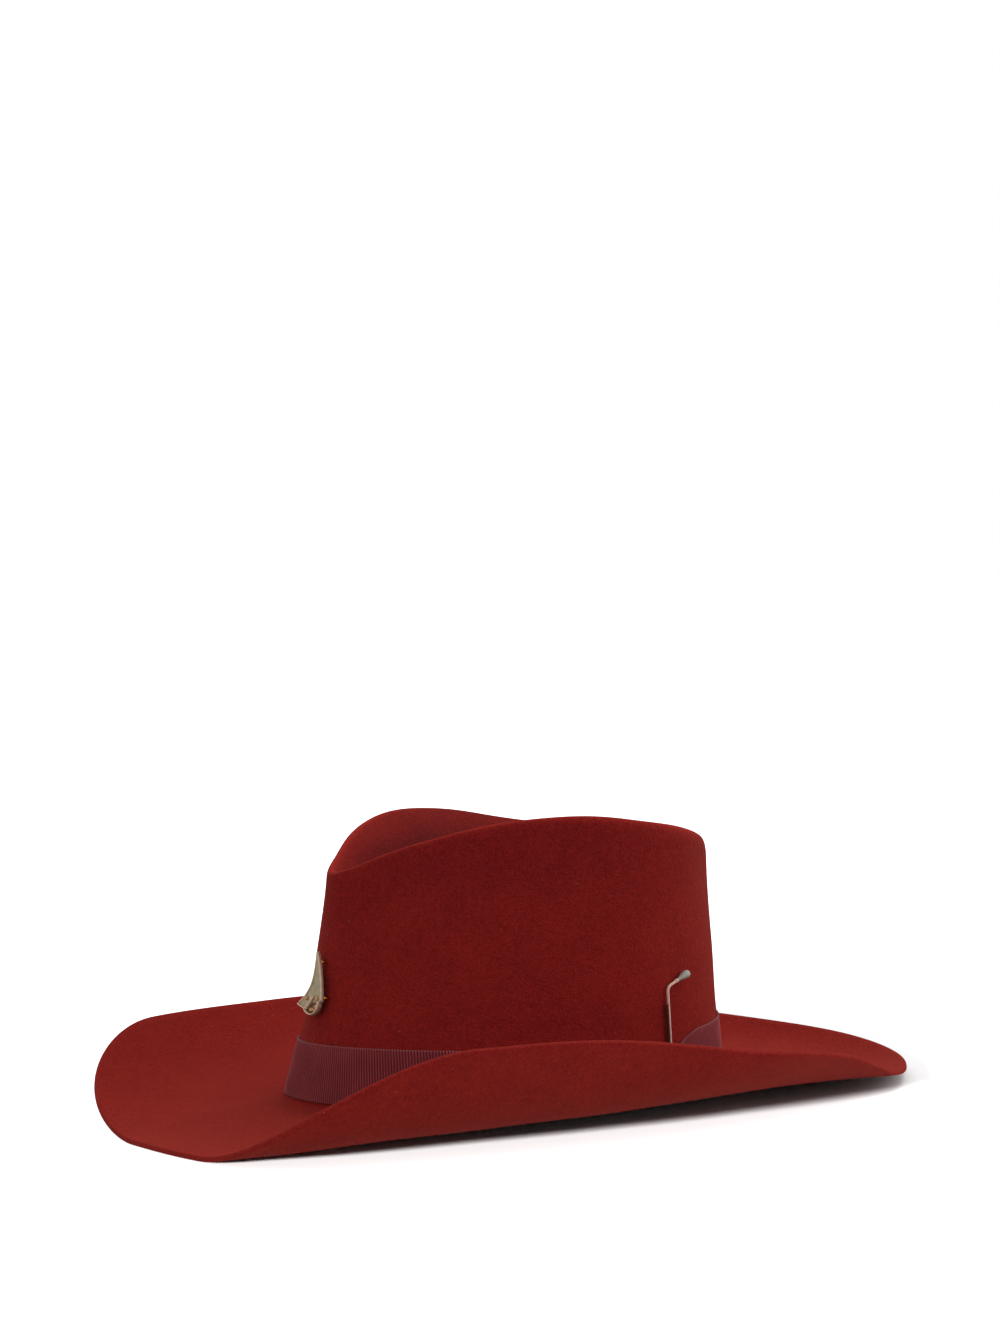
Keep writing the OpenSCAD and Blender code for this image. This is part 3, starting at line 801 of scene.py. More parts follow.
def ribbon_material(colours):
    """Grosgrain: ribs with painted shade in their valleys, a low sheen and paler picots along the edges."""
    made = Finish("grosgrain")
    spot = made.place()
    rib = made.value("rib")
    yarn = made.mottle(spot, 2600, 0.75, 1.1, 2.0)
    fade = made.mottle(spot, 90, 0.75, 1.05, 3.0)
    lit = made.maths("MULTIPLY", made.maths("MULTIPLY", rib, yarn), fade)
    # Ribs go from painted shade in their valleys to the ribbon's colour on their crowns
    body = made.mixed(colours.ribbon_valley_shade, colours.ribbon, lit)
    picot = made.mixed(body, colours.picot, made.maths("MULTIPLY", made.value("edge"), 0.45))
    made.colour(picot)
    made.set(Roughness=0.7, Specular_IOR_Level=0.04)
    made.set(Sheen_Weight=0.2, Sheen_Roughness=0.35, Sheen_Tint=(1.0, 0.6, 0.6, 1))
    made.bump(yarn, 0.00015, 0.5)
    return made.material


def leather_material(colours):
    """Smooth leather with fine pores and an uneven polish."""
    made = Finish("sweat_leather")
    spot = made.place()
    pores = made.node("ShaderNodeTexVoronoi")
    pores.inputs["Scale"].default_value = 900
    made.link(spot, pores.inputs["Vector"])
    shade = made.mottle(spot, 45, 0.25, 1.0, 4.0)
    made.colour(made.mixed(colours.leather_deep, colours.leather, shade))
    made.rough(made.mottle(spot, 60, 0.42, 0.62, 3.0))
    made.bump(pores.outputs["Distance"], 0.0002, 0.5)
    return made.material


def cord_material(name, tone):
    """Matt thread, reed, or the dark strip of painted shadow beside the stem."""
    made = Finish(name)
    spot = made.place()
    dark = tuple(0.55 * c for c in tone)
    made.colour(made.mixed(dark, tone, made.mottle(spot, 1800, 0.1, 1.0, 2.0)))
    made.set(Roughness=0.8, Specular_IOR_Level=0.1)
    made.bump(made.mottle(spot, 2400, 0.0, 1.0, 2.0), 0.0001, 0.6)
    return made.material


def metal_material(name, tone, painted_shade, roughness, metallic):
    """Cast and tumbled metal with a slightly uneven polish, with painted shade where its well value is high.
    """
    made = Finish(name)
    spot = made.place()
    dull = tuple(0.7 * c for c in tone)
    body = made.mixed(dull, tone, made.mottle(spot, 420, 0.2, 1.0, 3.0))
    made.colour(made.mixed(body, painted_shade, made.maths("MULTIPLY", made.value("well"), 0.85)))
    made.rough(made.mottle(spot, 700, *roughness, 3.0))
    made.set(Metallic=metallic)
    made.bump(made.mottle(spot, 1100, 0.0, 1.0, 3.0), 0.0001, 0.35)
    return made.material


def stone_material(tone):
    """Polished amber beads."""
    made = Finish("amber_bead")
    spot = made.place()
    deep = tuple(0.45 * c for c in tone)
    made.colour(made.mixed(deep, tone, made.mottle(spot, 600, 0.0, 1.0, 3.0)))
    made.set(Roughness=0.18, Coat_Weight=0.6, Coat_Roughness=0.08)
    return made.material


def floor_material():
    """Plain white paper that keeps the shadow and throws little light back."""
    made = Finish("white_paper")
    seen = made.node("ShaderNodeLightPath")
    shown = made.maths("MAXIMUM", seen.outputs["Is Camera Ray"], seen.outputs["Is Glossy Ray"])
    thrown_back, white = (0.40, 0.40, 0.40), (1.0, 1.0, 1.0)
    made.colour(made.mixed(thrown_back, white, shown))
    made.set(Roughness=1.0, Specular_IOR_Level=0.0)
    return made.material


class HatOperator:
    """What the operators share."""

    bl_options = {"REGISTER", "UNDO"}


class FELTHAT_OT_felt(HatOperator, bpy.types.Operator):
    """Build the felt crown and brim as one shell with a rounded cut edge"""

    bl_idname = "felt_hat.felt"
    bl_label = "Felt body"

    COLUMNS = 288
    EDGE_STEPS = 5
    EDGE_BULGE = 0.3
    # Size, turns, drift from row to row and start of each wave in the hand-shaped felt
    WAVES = ((1.0, 5, 0.21, 0.7), (0.7, 8, -0.13, 2.1), (0.5, 13, 0.09, 4.0))
    # Rows over which the waves grow beside the band, and fade towards the middle of the dent
    WAVE_GROWTH = 12
    WAVE_FADE = 20
    # How much lighter each part of the felt is painted, below zero darker: painted light on the brim,
    # painted shade high on the wall and in the dent, pale wear and a painted highlight along the crest, and
    # small even lifts on the under side and the cut edge
    PAINTED_LIGHT_BRIM = 0.17
    LIGHTER_UNDER = 0.06
    LIGHTER_EDGE = 0.05
    PAINTED_SHADE_WALL = -0.12
    WEAR_AND_HIGHLIGHT_CREST = 0.45
    PAINTED_SHADE_DENT = -0.50

    def execute(self, context):
        settings = context.scene.felt_hat
        form = hat_form()
        t = full_turn(self.COLUMNS)
        outer = form.felt_rows(t)
        outer = outer + self.waver(outer, form, t)
        normals = grid_normals(outer)
        inner = outer - settings.brim.felt * normals
        edge = self.edge_rows(outer[:, 0], normals[:, 0], outer[:, 1], settings.brim.felt)
        grid = form.on_frame(np.concatenate([inner[:, ::-1], edge, outer], axis=1))
        caps = self.dent_caps(grid.shape[1])
        piece = grid_object("felt_hat_body", grid, True, False, caps)
        store_values(piece, "painted_light_and_shade", np.tile(self.painted_light_and_shade(form, outer.shape[1]), (self.COLUMNS, 1)))
        finished(piece, "hat", "felt", felt_material(settings.colours), "felt_body")
        return {"FINISHED"}

    def waver(self, outer, form, t):
        """Slow unevenness along the normals, none of it under the band."""
        rows = outer.shape[1]
        foot = form.BRIM_ROWS + form.FOLD_ROWS
        k = np.arange(rows)[None, :]
        away = np.where(k < foot, foot - k, k - foot - form.BAND_ROWS) / self.WAVE_GROWTH
        weight = np.clip(away, 0, 1) * smooth((rows - 1 - k) / self.WAVE_FADE, 0, 1)
        wave, most = 0, 0
        for size, turns, drift, start in self.WAVES:
            wave = wave + size * np.sin(turns * t[:, None] + drift * k + start)
            most = most + size
        height = form.brim_sizes.waver * wave * weight / most
        return height[..., None] * grid_normals(outer)

    def painted_light_and_shade(self, form, rows):
        """Painted light and shade from row to row: painted light on the brim, a pale line on the crest that
        is partly wear and partly a painted highlight, and painted shade high on the wall and in the dent.
        """
        k = np.arange(rows)
        dent_at = rows - form.DENT_ROWS
        crest_at = dent_at - form.CREST_ROWS
        # Band of pale wear and painted highlight along the crest
        highlight_at, highlight_wide = dent_at - 0.45 * form.CREST_ROWS, 0.22 * form.CREST_ROWS
        brim = 1 - smooth(k, 0.85 * form.BRIM_ROWS, form.BRIM_ROWS)
        wall = smooth(k, crest_at - 0.7 * form.WALL_ROWS, crest_at)
        dent = smooth(k, dent_at - 0.2 * form.CREST_ROWS, dent_at + 0.4 * form.DENT_ROWS)
        wear_and_painted_light = np.exp(-(((k - highlight_at) / highlight_wide) ** 2))
        under = self.LIGHTER_UNDER * brim[::-1]
        edge = np.full(self.EDGE_STEPS, self.LIGHTER_EDGE)
        outer = self.PAINTED_LIGHT_BRIM * brim + self.PAINTED_SHADE_WALL * wall + self.PAINTED_SHADE_DENT * dent + self.WEAR_AND_HIGHLIGHT_CREST * wear_and_painted_light
        return np.concatenate([under, edge, outer])

    def edge_rows(self, rim, normal, next_row, felt):
        """Slightly rounded section of the cut edge, from the under side to the top."""
        out = unit(rim - next_row)
        middle = rim - felt / 2 * normal
        turns = np.linspace(-math.pi / 2, math.pi / 2, self.EDGE_STEPS + 2)[1:-1]
        bulge = self.EDGE_BULGE
        rows = [middle + felt / 2 * (bulge * math.cos(g) * out + math.sin(g) * normal) for g in turns]
        return np.stack(rows, axis=1)

    def dent_caps(self, rows):
        """Faces that close the middle line of the dent on both sides of the felt."""
        n = self.COLUMNS
        half = n // 2
        caps = []
        for k in (0, rows - 1):
            spots = [j * rows + k for j in range(n)]
            caps.append((spots[0], spots[n - 1], spots[1]))
            caps.append((spots[half], spots[half - 1], spots[half + 1]))
            for j in range(1, half - 1):
                caps.append((spots[j], spots[n - j], spots[n - j - 1], spots[j + 1]))
        return caps


class FELTHAT_OT_band(HatOperator, bpy.types.Operator):
    """Build the ribbed ribbon round the crown and its keeper"""

    bl_idname = "felt_hat.band"
    bl_label = "Hat band"

    RIB_STEPS = 6
    ROWS = 12
    EDGE = 0.025
    # Share of their height that the ribs keep at the ribbon's edges, and how fast they grow from there
    HEM_RIB = 0.35
    HEM_GROWTH = 0.8
    # Shares of the ribbon's height at which the plain back has its rows
    BACK_SHARES = (1.0, 0.5, 0.0)
    KEEPER_COLUMNS = 15

    def execute(self, context):
        settings = context.scene.felt_hat
        ribbon = ribbon_material(settings.colours)
        form = hat_form()
        band = self.band(form)
        finished(band, "hat", "ribbon", ribbon, "hat_band")
        finished(self.keeper(form), "hat", "ribbon", ribbon, "band_keeper")
        return {"FINISHED"}

    def band(self, form):
        sizes = form.band_sizes
        run = form.even_angles(1)[1]
        ribs = round(run / sizes.rib_pitch)
        t = form.even_angles(ribs * self.RIB_STEPS)[0]
        phase = (np.arange(len(t)) % self.RIB_STEPS) / self.RIB_STEPS
        rib = np.sin(math.pi * phase) ** 2
        lift = sizes.gap + form.band_lift(t)
        low = form.brim_sizes.fold_round
        top = form.band_height(t)
        return self.ribbon("hat_band_ribbon", form, t, rib, lift, low, top)

    def ribbon(self, name, form, t, rib, lift, low, top):
        """Ribbon standing on the wall: an outer ribbed face, two thin edges and a plain back."""
        sizes = form.band_sizes
        shares = np.concatenate([[0], np.linspace(self.EDGE, 1 - self.EDGE, self.ROWS), [1]])
        hem = np.minimum(1, self.HEM_RIB + self.HEM_GROWTH * self.ROWS * np.minimum(shares, 1 - shares))
        plain = np.zeros_like(rib)
        outer = []
        for u, fade in zip(shares, hem):
            off = lift + sizes.thickness - sizes.rib_depth + sizes.rib_depth * rib * fade
            outer.append(form.against_wall(t, lerp(low, top, u), off))
        back = [form.against_wall(t, lerp(low, top, u), lift) for u in self.BACK_SHARES]
        grid = form.on_frame(np.stack(outer + back, axis=1))
        piece = grid_object(name, grid)
        ribs = [rib] * len(outer) + [plain] * len(back)
        edges = [rib if u in (0, 1) else plain for u in shares] + [plain] * len(back)
        store_values(piece, "rib", np.stack(ribs, axis=1))
        store_values(piece, "edge", np.stack(edges, axis=1))
        return piece

    def keeper(self, form):
        """Short turned piece of the same ribbon, so its ribs run level."""
        sizes = form.band_sizes
        half = sizes.keeper_width / 2 / float(form.arc_rate(np.array(sizes.keeper_at)))
        t = np.linspace(sizes.keeper_at - half, sizes.keeper_at + half, self.KEEPER_COLUMNS)
        low, top = form.brim_sizes.fold_round, form.band_height(t)
        ribs = round((top.mean() - low) / sizes.rib_pitch)
        shares = np.linspace(0, 1, ribs * self.RIB_STEPS + 1)
        rib = np.sin(math.pi * shares * ribs) ** 2
        base = 2 * sizes.gap + sizes.thickness
        outer = []
        for u, ridge in zip(shares, rib):
            off = base + sizes.thickness - sizes.rib_depth * (1 - ridge)
            outer.append(form.against_wall(t, lerp(low, top, u), off))
        back = [form.against_wall(t, lerp(low, top, u), base) for u in self.BACK_SHARES]
        grid = form.on_frame(np.stack(outer + back, axis=1))
        piece = loft("band_keeper_ribbon", grid)
        values = np.concatenate([rib, np.zeros(len(back))])
        store_values(piece, "rib", np.tile(values, (len(t), 1)))
        store_values(piece, "edge", np.zeros(grid.shape[:2]))
        return piece


class FELTHAT_OT_sweatband(HatOperator, bpy.types.Operator):
    """Build the leather sweatband with its reed, seam patch and stitches"""

    bl_idname = "felt_hat.sweatband"
    bl_label = "Sweatband"

    COLUMNS = 180
    ROWS = 14
    JOIN_COLUMNS = 13
    REED_SIDES = 12
    # How far the upper edge is rounded up, as a share of the leather's thickness
    TIP = 0.3
    # Place and width of the crease as shares of the leather's height, and its depth in metres
    CREASE_AT = 0.16
    CREASE_WIDE = 0.03
    CREASE_DEEP = 0.0003
    # Height of the stitches above the lower edge and radius of their thread, in metres
    STITCH_UP = 0.0045
    STITCH_RADIUS = 0.00035
    # Half a stitch as a share of its pitch, and its arch in radii of the thread
    STITCH_HALF = 0.3
    STITCH_ARCH = (-0.8, 0.1, 0.5, 0.6, 0.5, 0.1, -0.8)
    STITCH_SIDES = 6

    def execute(self, context):
        colours = context.scene.felt_hat.colours
        form = hat_form()
        leather = leather_material(colours)
        thread = cord_material("waxed_thread", colours.thread)
        cord = cord_material("reed_cord", colours.leather_deep)
        finished(self.band(form), "hat", "leather", leather, "sweatband")
        finished(self.join(form), "hat", "leather", leather, "sweatband_join")
        finished(self.reed(form), "hat", "reed", cord, "sweatband_reed")
        finished(self.stitches(form), "hat", "leather", thread)
        return {"FINISHED"}

    def back(self, form):
        """Distance of the leather's back from the felt's outer face, below zero because it lies inside."""
        return -form.brim_sizes.felt - form.band_sizes.gap

    def section(self, form, t, back):
        """Closed section: plain back, rounded top and an inner face with a shallow crease."""
        low, thick = form.sweat.low, form.sweat.thickness
        top = low + form.sweat.height
        rows = [form.against_wall(t, lerp(low, top, u), back) for u in np.linspace(0, 1, self.ROWS)]
        rows.append(form.against_wall(t, top + self.TIP * thick, back - thick / 2))
        for u in np.linspace(1, 0, 2 * self.ROWS):
            crease = self.CREASE_DEEP * math.exp(-(((u - self.CREASE_AT) / self.CREASE_WIDE) ** 2))
            rows.append(form.against_wall(t, lerp(low, top, u), back - thick + crease))
        return form.on_frame(np.stack(rows, axis=1))

    def band(self, form):
        t = full_turn(self.COLUMNS)
        return grid_object("sweatband_leather", self.section(form, t, self.back(form)))

    def join(self, form):
        half = form.sweat.join_width / 2 / float(form.arc_rate(np.array(math.pi)))
        t = np.linspace(math.pi - half, math.pi + half, self.JOIN_COLUMNS)
        back = self.back(form) - form.sweat.thickness - form.band_sizes.gap
        return loft("sweatband_seam_patch", self.section(form, t, back))

    def reed(self, form):
        t = full_turn(self.COLUMNS)
        radius = form.sweat.reed / 2
        low = form.sweat.low - form.band_sizes.gap - radius
        middle = form.against_wall(t, low, self.back(form) - radius)
        rows = []
        for g in full_turn(self.REED_SIDES):
            rows.append(middle + radius * (math.cos(g) * form.outward(t) + point(0, 0, math.sin(g))))
        return grid_object("sweatband_reed_cord", form.on_frame(np.stack(rows, axis=1)))

    def stitches(self, form):
        """Row of stitches a little above the foot of the leather."""
        run = form.even_angles(1)[1]
        number = round(run / form.sweat.stitch_pitch)
        half = self.STITCH_HALF * TURN / number
        height = form.sweat.low + self.STITCH_UP
        off = self.back(form) - form.sweat.thickness - self.STITCH_RADIUS * np.array(self.STITCH_ARCH)
        radii = [self.STITCH_RADIUS] * len(off)
        made = []
        for spot in form.even_angles(number)[0]:
            arc = np.linspace(spot - half, spot + half, len(off))
            path = form.on_frame(form.against_wall(arc, height, off))
            made.append(tube("stitch", path, radii, self.STITCH_SIDES))
        return joined("sweatband_stitches", made)


class FELTHAT_OT_brooch(HatOperator, bpy.types.Operator):
    """Build the sailing-boat brooch and finish the post and clutch behind it"""

    bl_idname = "felt_hat.brooch"
    bl_label = "Brooch"

    # Place of the post above the sail's foot and in from its stern end, as shares of its height and width
    POST_UP = 0.32
    POST_IN = 0.29
    # Curves of the sail's stern edge and bow edge
    LUFF_POWER = 2.1
    LEECH_POWER = 4
    LEECH_STRAIGHT = 0.2
    # Heel and throat of the bow, as shares of the sail's width from its stern end
    HEEL_IN = 0.54
    THROAT_IN = 0.4
    # Half width of the sail's raised edges and their height above its face, in metres, and their run
    TRIM_HALF = 0.00035
    TRIM_RISE = 0.0004
    TRIM_RUN = (0.02, 0.985)
    # Half width of the strut and how far its foot lies above the heel, in metres
    STRUT_HALF = 0.00045
    STRUT_FOOT = 0.0006
    # Head of the strut, as shares of the sail's width and height
    STRUT_IN = 0.27
    STRUT_UP = 0.11
    # Softened edges of the two plates, in metres
    SAIL_BEVEL = 0.0002
    HULL_BEVEL = 0.00015
    # Insets of the hull's rim along and down, in rim widths, and how deep the bow covers it
    RIM_INSET = (0.8, 0.7)
    BOW_COVER = 0.9
    # Places of the studs up the stern edge, their inset in diameters and their shape
    STUDS = (0.08, 0.79)
    STUD_INSET = 0.15
    STUD_RADII = (0.9, 1.0, 1.0, 1.0, 1.0)
    # Places of the stones, as shares of the hull's and of the sail's length and height
    HULL_STONES = ((-0.07, -0.53), (0.1, -0.55), (0.25, -0.36))
    SAIL_STONES = ((-0.6, 0.1), (-0.17, 0.07))
    STONE_TURN = math.radians(85)

    def execute(self, context):
        settings = context.scene.felt_hat
        colours = settings.colours
        form = hat_form()
        satin, polished = (0.5, 0.65), (0.16, 0.32)
        pale = metal_material("pale_metal", colours.pale_metal, colours.well, satin, metallic=0.4)
        grey = metal_material("sail_metal", colours.sail, colours.well, satin, metallic=0.4)
        gold = metal_material("gold_metal", colours.gold, colours.well, polished, metallic=1.0)
        amber = stone_material(colours.amber)
        s = settings.brooch
        self.sizes = s
        self.sail_low = -self.POST_UP * s.sail_height
        self.luff_x = self.POST_IN * s.sail_width
        self.hull_mid = self.luff_x - s.hull_aft - s.hull_length / 2
        place = form.wall_matrix(s.at, s.up) @ Matrix.Translation((0, 0, form.band_sizes.gap))
        place = place @ Matrix.Rotation(s.lean, 4, "Z")
        finished(placed(self.sail(), place), "brooch", "pale_metal", grey, "brooch_sail")
        finished(placed(self.sail_trim(), place), "brooch", "pale_metal", pale)
        finished(placed(self.hull(), place), "brooch", "pale_metal", pale, "brooch_hull")
        finished(placed(self.studs(), place), "brooch", "gold_metal", gold, "brooch_studs")
        finished(placed(self.stones(), place), "brooch", "amber", amber, "brooch_stones")
        for node, finish in (("brooch_post", gold), ("brooch_clutch", pale)):
            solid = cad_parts[node]
            solid.data.materials.clear()
            solid.data.materials.append(finish)
        return {"FINISHED"}

    def plate(self, name, outline, low, high, bevel):
        """Flat plate with softened edges."""
        outline = np.array(outline)
        middle = outline.mean(axis=0)
        inset = outline + bevel * unit(middle - outline)
        loops = []
        for loop, z in ((inset, low), (outline, low + bevel), (outline, high - bevel), (inset, high)):
            loops.append([(x, y, z) for x, y in loop])
        piece = loft(name, loops)
        piece.data.set_sharp_from_angle(angle=math.radians(60))
        return piece

    def luff(self, u):
        """Stern edge of the sail at a share of its height."""
        s = self.sizes
        x = self.luff_x - s.peak_in * u**self.LUFF_POWER
        return np.array([x, self.sail_low + u * s.sail_height])

    def leech(self, u):
        """Bow edge of the sail at a share of its height."""
        s = self.sizes
        peak = s.peak_in + s.peak_width
        curve = lerp((1 - u) ** self.LEECH_POWER, 1 - u, self.LEECH_STRAIGHT)
        x = self.luff_x - peak - (s.sail_width - peak) * curve
        return np.array([x, self.sail_low + u * s.sail_height])

    def bow(self, u):
        """Lower edge of the bow, from its tip to its heel."""
        s = self.sizes
        x = self.luff_x - lerp(1.0, self.HEEL_IN, u) * s.sail_width
        return np.array([x, self.sail_low - s.bow_drop * math.sin(math.pi / 2 * u)])

    def sail(self):
        s = self.sizes
        steps = np.linspace(0, 1, 25)
        outline = [self.luff(u) for u in steps] + [self.leech(u) for u in steps[::-1]]
        outline += [self.bow(u) for u in steps[3::3]]
        outline.append(np.array([self.luff_x - self.THROAT_IN * s.sail_width, self.sail_low]))
        return self.plate("brooch_sail_plate", outline, s.stand, s.stand + s.sail_thickness, self.SAIL_BEVEL)

    def sail_trim(self):
        """Raised edges of the sail and the strut from the heel of its bow."""
        s = self.sizes
        half = self.TRIM_HALF
        low, high = s.stand + s.sail_thickness / 2, s.stand + s.sail_thickness + self.TRIM_RISE
        steps = np.linspace(*self.TRIM_RUN, 25)
        lines = {
            "luff": np.array([self.luff(u) - (half, 0) for u in steps]),
            "leech": np.array([self.leech(u) + (half, 0.3 * half) for u in steps]),
            "bow": np.array([self.bow(u) + (0, half) for u in steps]),
        }
        made = [rail(name, line, half, low, high) for name, line in lines.items()]
        foot = self.bow(1.0) + (0, self.STRUT_FOOT)
        head = (self.luff_x - self.STRUT_IN * s.sail_width, self.sail_low + self.STRUT_UP * s.sail_height)
        strut = np.array([lerp(foot, np.array(head), u) for u in np.linspace(0, 1, 9)])
        made.append(rail("strut", strut, self.STRUT_HALF, low, s.stand + s.hull_thickness))
        return joined("brooch_sail_trim", made)

    def hull_edge(self, inset_x, inset_y):
        """Keel line from end to end, drawn in by the two insets."""
        s = self.sizes
        half, deep = s.hull_length / 2 - inset_x, s.hull_height - inset_y
        turns = np.linspace(0, math.pi, 41)
        sunk = np.abs(np.sin(turns)) ** s.hull_full
        line = np.stack([half * np.cos(turns) + s.hull_rake * sunk, -deep * sunk], axis=1)
        return line + (self.hull_mid, self.sail_low)

    def hull(self):
        """Shallow tray that is open towards the sail and runs in under its bow."""
        s = self.sizes
        back, top = s.stand + s.hull_back, s.stand + s.hull_thickness
        plate = self.plate("back", self.hull_edge(0.0, 0.0), s.stand, back, self.HULL_BEVEL)
        # The back plate carries painted shade in the well
        store_values(plate, "well", np.ones(len(plate.data.vertices)))
        edge = self.hull_edge(*(part * s.hull_rim for part in self.RIM_INSET))
        astern = edge[:, 0] >= self.hull_mid
        below_bow = edge[:, 1] < self.sail_low - self.BOW_COVER * s.bow_drop
        rim = rail("rim", edge[astern | below_bow], s.hull_rim / 2, back, top)
        return joined("brooch_hull_tray", [plate, rim])

    def studs(self):
        s = self.sizes
        radii = s.stud / 2 * np.array(self.STUD_RADII)
        made = []
        for part in self.STUDS:
            x, y = self.luff(part) - (self.STUD_INSET * s.stud, 0)
            path = [(x, y, u * s.stand) for u in np.linspace(0, 1, len(radii))]
            made.append(tube("stud", path, radii, 20))
        return joined("brooch_stud_pair", made)

    def stones(self):
        s = self.sizes
        radius = s.stone / 2
        profile = [(radius * math.cos(g), radius * math.sin(g)) for g in np.linspace(0, self.STONE_TURN, 8)]
        well, sail = s.stand + s.hull_back, s.stand + s.sail_thickness
        spots = []
        for x, y in self.HULL_STONES:
            spots.append((self.hull_mid + x * s.hull_length, self.sail_low + y * s.hull_height, well))
        for x, y in self.SAIL_STONES:
            spots.append((self.luff_x + x * s.sail_width, self.sail_low + y * s.sail_height, sail))
        made = [placed(lathe("bead", profile, 24), Matrix.Translation(spot)) for spot in spots]
        return joined("brooch_beads", made)


class FELTHAT_OT_stick_pin(HatOperator, bpy.types.Operator):
    """Build the bent stick pin behind the band"""

    bl_idname = "felt_hat.stick_pin"
    bl_label = "Stick pin"

    # Length of the soft bend each side of the corner, in metres
    CORNER = 0.0022
    # Radius and offset of the dark strip of painted shadow in diameters of the wire, and its run along the
    # stem
    STRIP_RADIUS = 0.5
    STRIP_ASIDE = 0.75
    STRIP_RUN = (0.02, 0.8)
    # Waist of the collar and neck of the head as shares of the collar, and height of the head's dome
    COLLAR_WAIST = 0.82
    HEAD_NECK = 0.8
    DOME_RISE = 1.1
    DOME_TURN = math.radians(86)

    def execute(self, context):
        settings = context.scene.felt_hat
        colours = settings.colours
        form = hat_form()
        # Painted shadow colour for the dark strip beside the stem
        wear_and_painted_light, matt, satin = colours.painted_shade, (0.55, 0.7), (0.5, 0.65)
        pale = metal_material("stick_metal", colours.stick, wear_and_painted_light, matt, metallic=0.2)
        grey = metal_material("stick_head_metal", colours.stick_head, wear_and_painted_light, satin, metallic=0.3)
        dark = cord_material("painted_shade", wear_and_painted_light)
        self.lay_out(form)
        finished(self.stem(), "stick_pin", "pale_metal", pale, "stick_stem")
        finished(self.collar(), "stick_pin", "pale_metal", pale, "stick_collar")
        finished(self.head(), "stick_pin", "pale_metal", grey, "stick_head")
        finished(self.dark_edge(form), "stick_pin", "pale_metal", dark)
        return {"FINISHED"}

    def lay_out(self, form):
        """Places of the stem's ends, its bend and the head, as in the frame."""
        s = form.stick
        self.wire, self.neck, self.collar_length = s.wire, s.neck, s.collar
        self.ring = s.wire / 2 + s.collar_thickness
        self.bulb = s.head / 2
        off = s.gap + s.wire / 2
        at, head_at = np.array(s.at), np.array(s.at + s.reach)
        foot = form.against_wall(at, s.low, off)
        aim = form.against_wall(at, s.bend + s.travel, off)
        head = form.against_wall(head_at, s.bend + s.lift, off + self.bulb)
        bend = foot + unit(aim - foot) * (s.bend - s.low)
        self.foot, self.bend, self.spot = (form.on_frame(p) for p in (foot, bend, head))
        self.way = unit(self.spot - self.bend)

    def stem(self):
        """Wire with a soft bend."""
        up = unit(self.bend - self.foot)
        turn_in, turn_out = self.bend - self.CORNER * up, self.bend + self.CORNER * self.way
        end = self.spot - self.neck * self.way
        straight = [lerp(self.foot, turn_in, u) for u in np.linspace(0, 1, 14)]
        curve = [curved(turn_in, self.bend, turn_out, u) for u in np.linspace(0, 1, 9)[1:]]
        arm = [lerp(turn_out, end, u) for u in np.linspace(0, 1, 8)[1:]]
        return tube("stick_pin_wire", *dished_ends(straight + curve + arm, self.wire / 2))

    def dark_edge(self, form):
        """Dark strip of painted shadow along the front side of the lower stem."""
        ahead = -np.cross(form.outward(np.array(form.stick.at)), unit(self.bend - self.foot))
        beside = self.STRIP_ASIDE * self.wire * (ahead if ahead[1] < 0 else -ahead)
        path = [lerp(self.foot, self.bend, u) + beside for u in np.linspace(*self.STRIP_RUN, 12)]
        return tube("stick_pin_dark_edge", *dished_ends(path, self.STRIP_RADIUS * self.wire))

    def along(self, start):
        """Frame whose z runs from a start towards the head."""
        turn = Vector(self.way).to_track_quat("Z", "Y").to_matrix().to_4x4()
        return Matrix.Translation(start) @ turn

    def collar(self):
        """Short ring with a waist."""
        profile = []
        for u in np.linspace(0, 1, 13):
            radius = self.ring * lerp(self.COLLAR_WAIST, 1, abs(math.sin(TURN * u)))
            profile.append((radius, self.collar_length * u))
        piece = lathe("stick_pin_collar", profile, 28)
        return placed(piece, self.along(self.spot - self.neck * self.way))

    def head(self):
        """Drop-shaped head on its neck."""
        drop = self.neck - self.collar_length
        neck = self.HEAD_NECK * self.ring
        profile = [(lerp(neck, self.bulb, smooth(u, 0, 1)), drop * u) for u in np.linspace(0, 1, 12)]
        for g in np.linspace(0, self.DOME_TURN, 12)[1:]:
            profile.append((self.bulb * math.cos(g), drop + self.DOME_RISE * self.bulb * math.sin(g)))
        piece = lathe("stick_pin_head", profile, 32)
        return placed(piece, self.along(self.spot - drop * self.way))


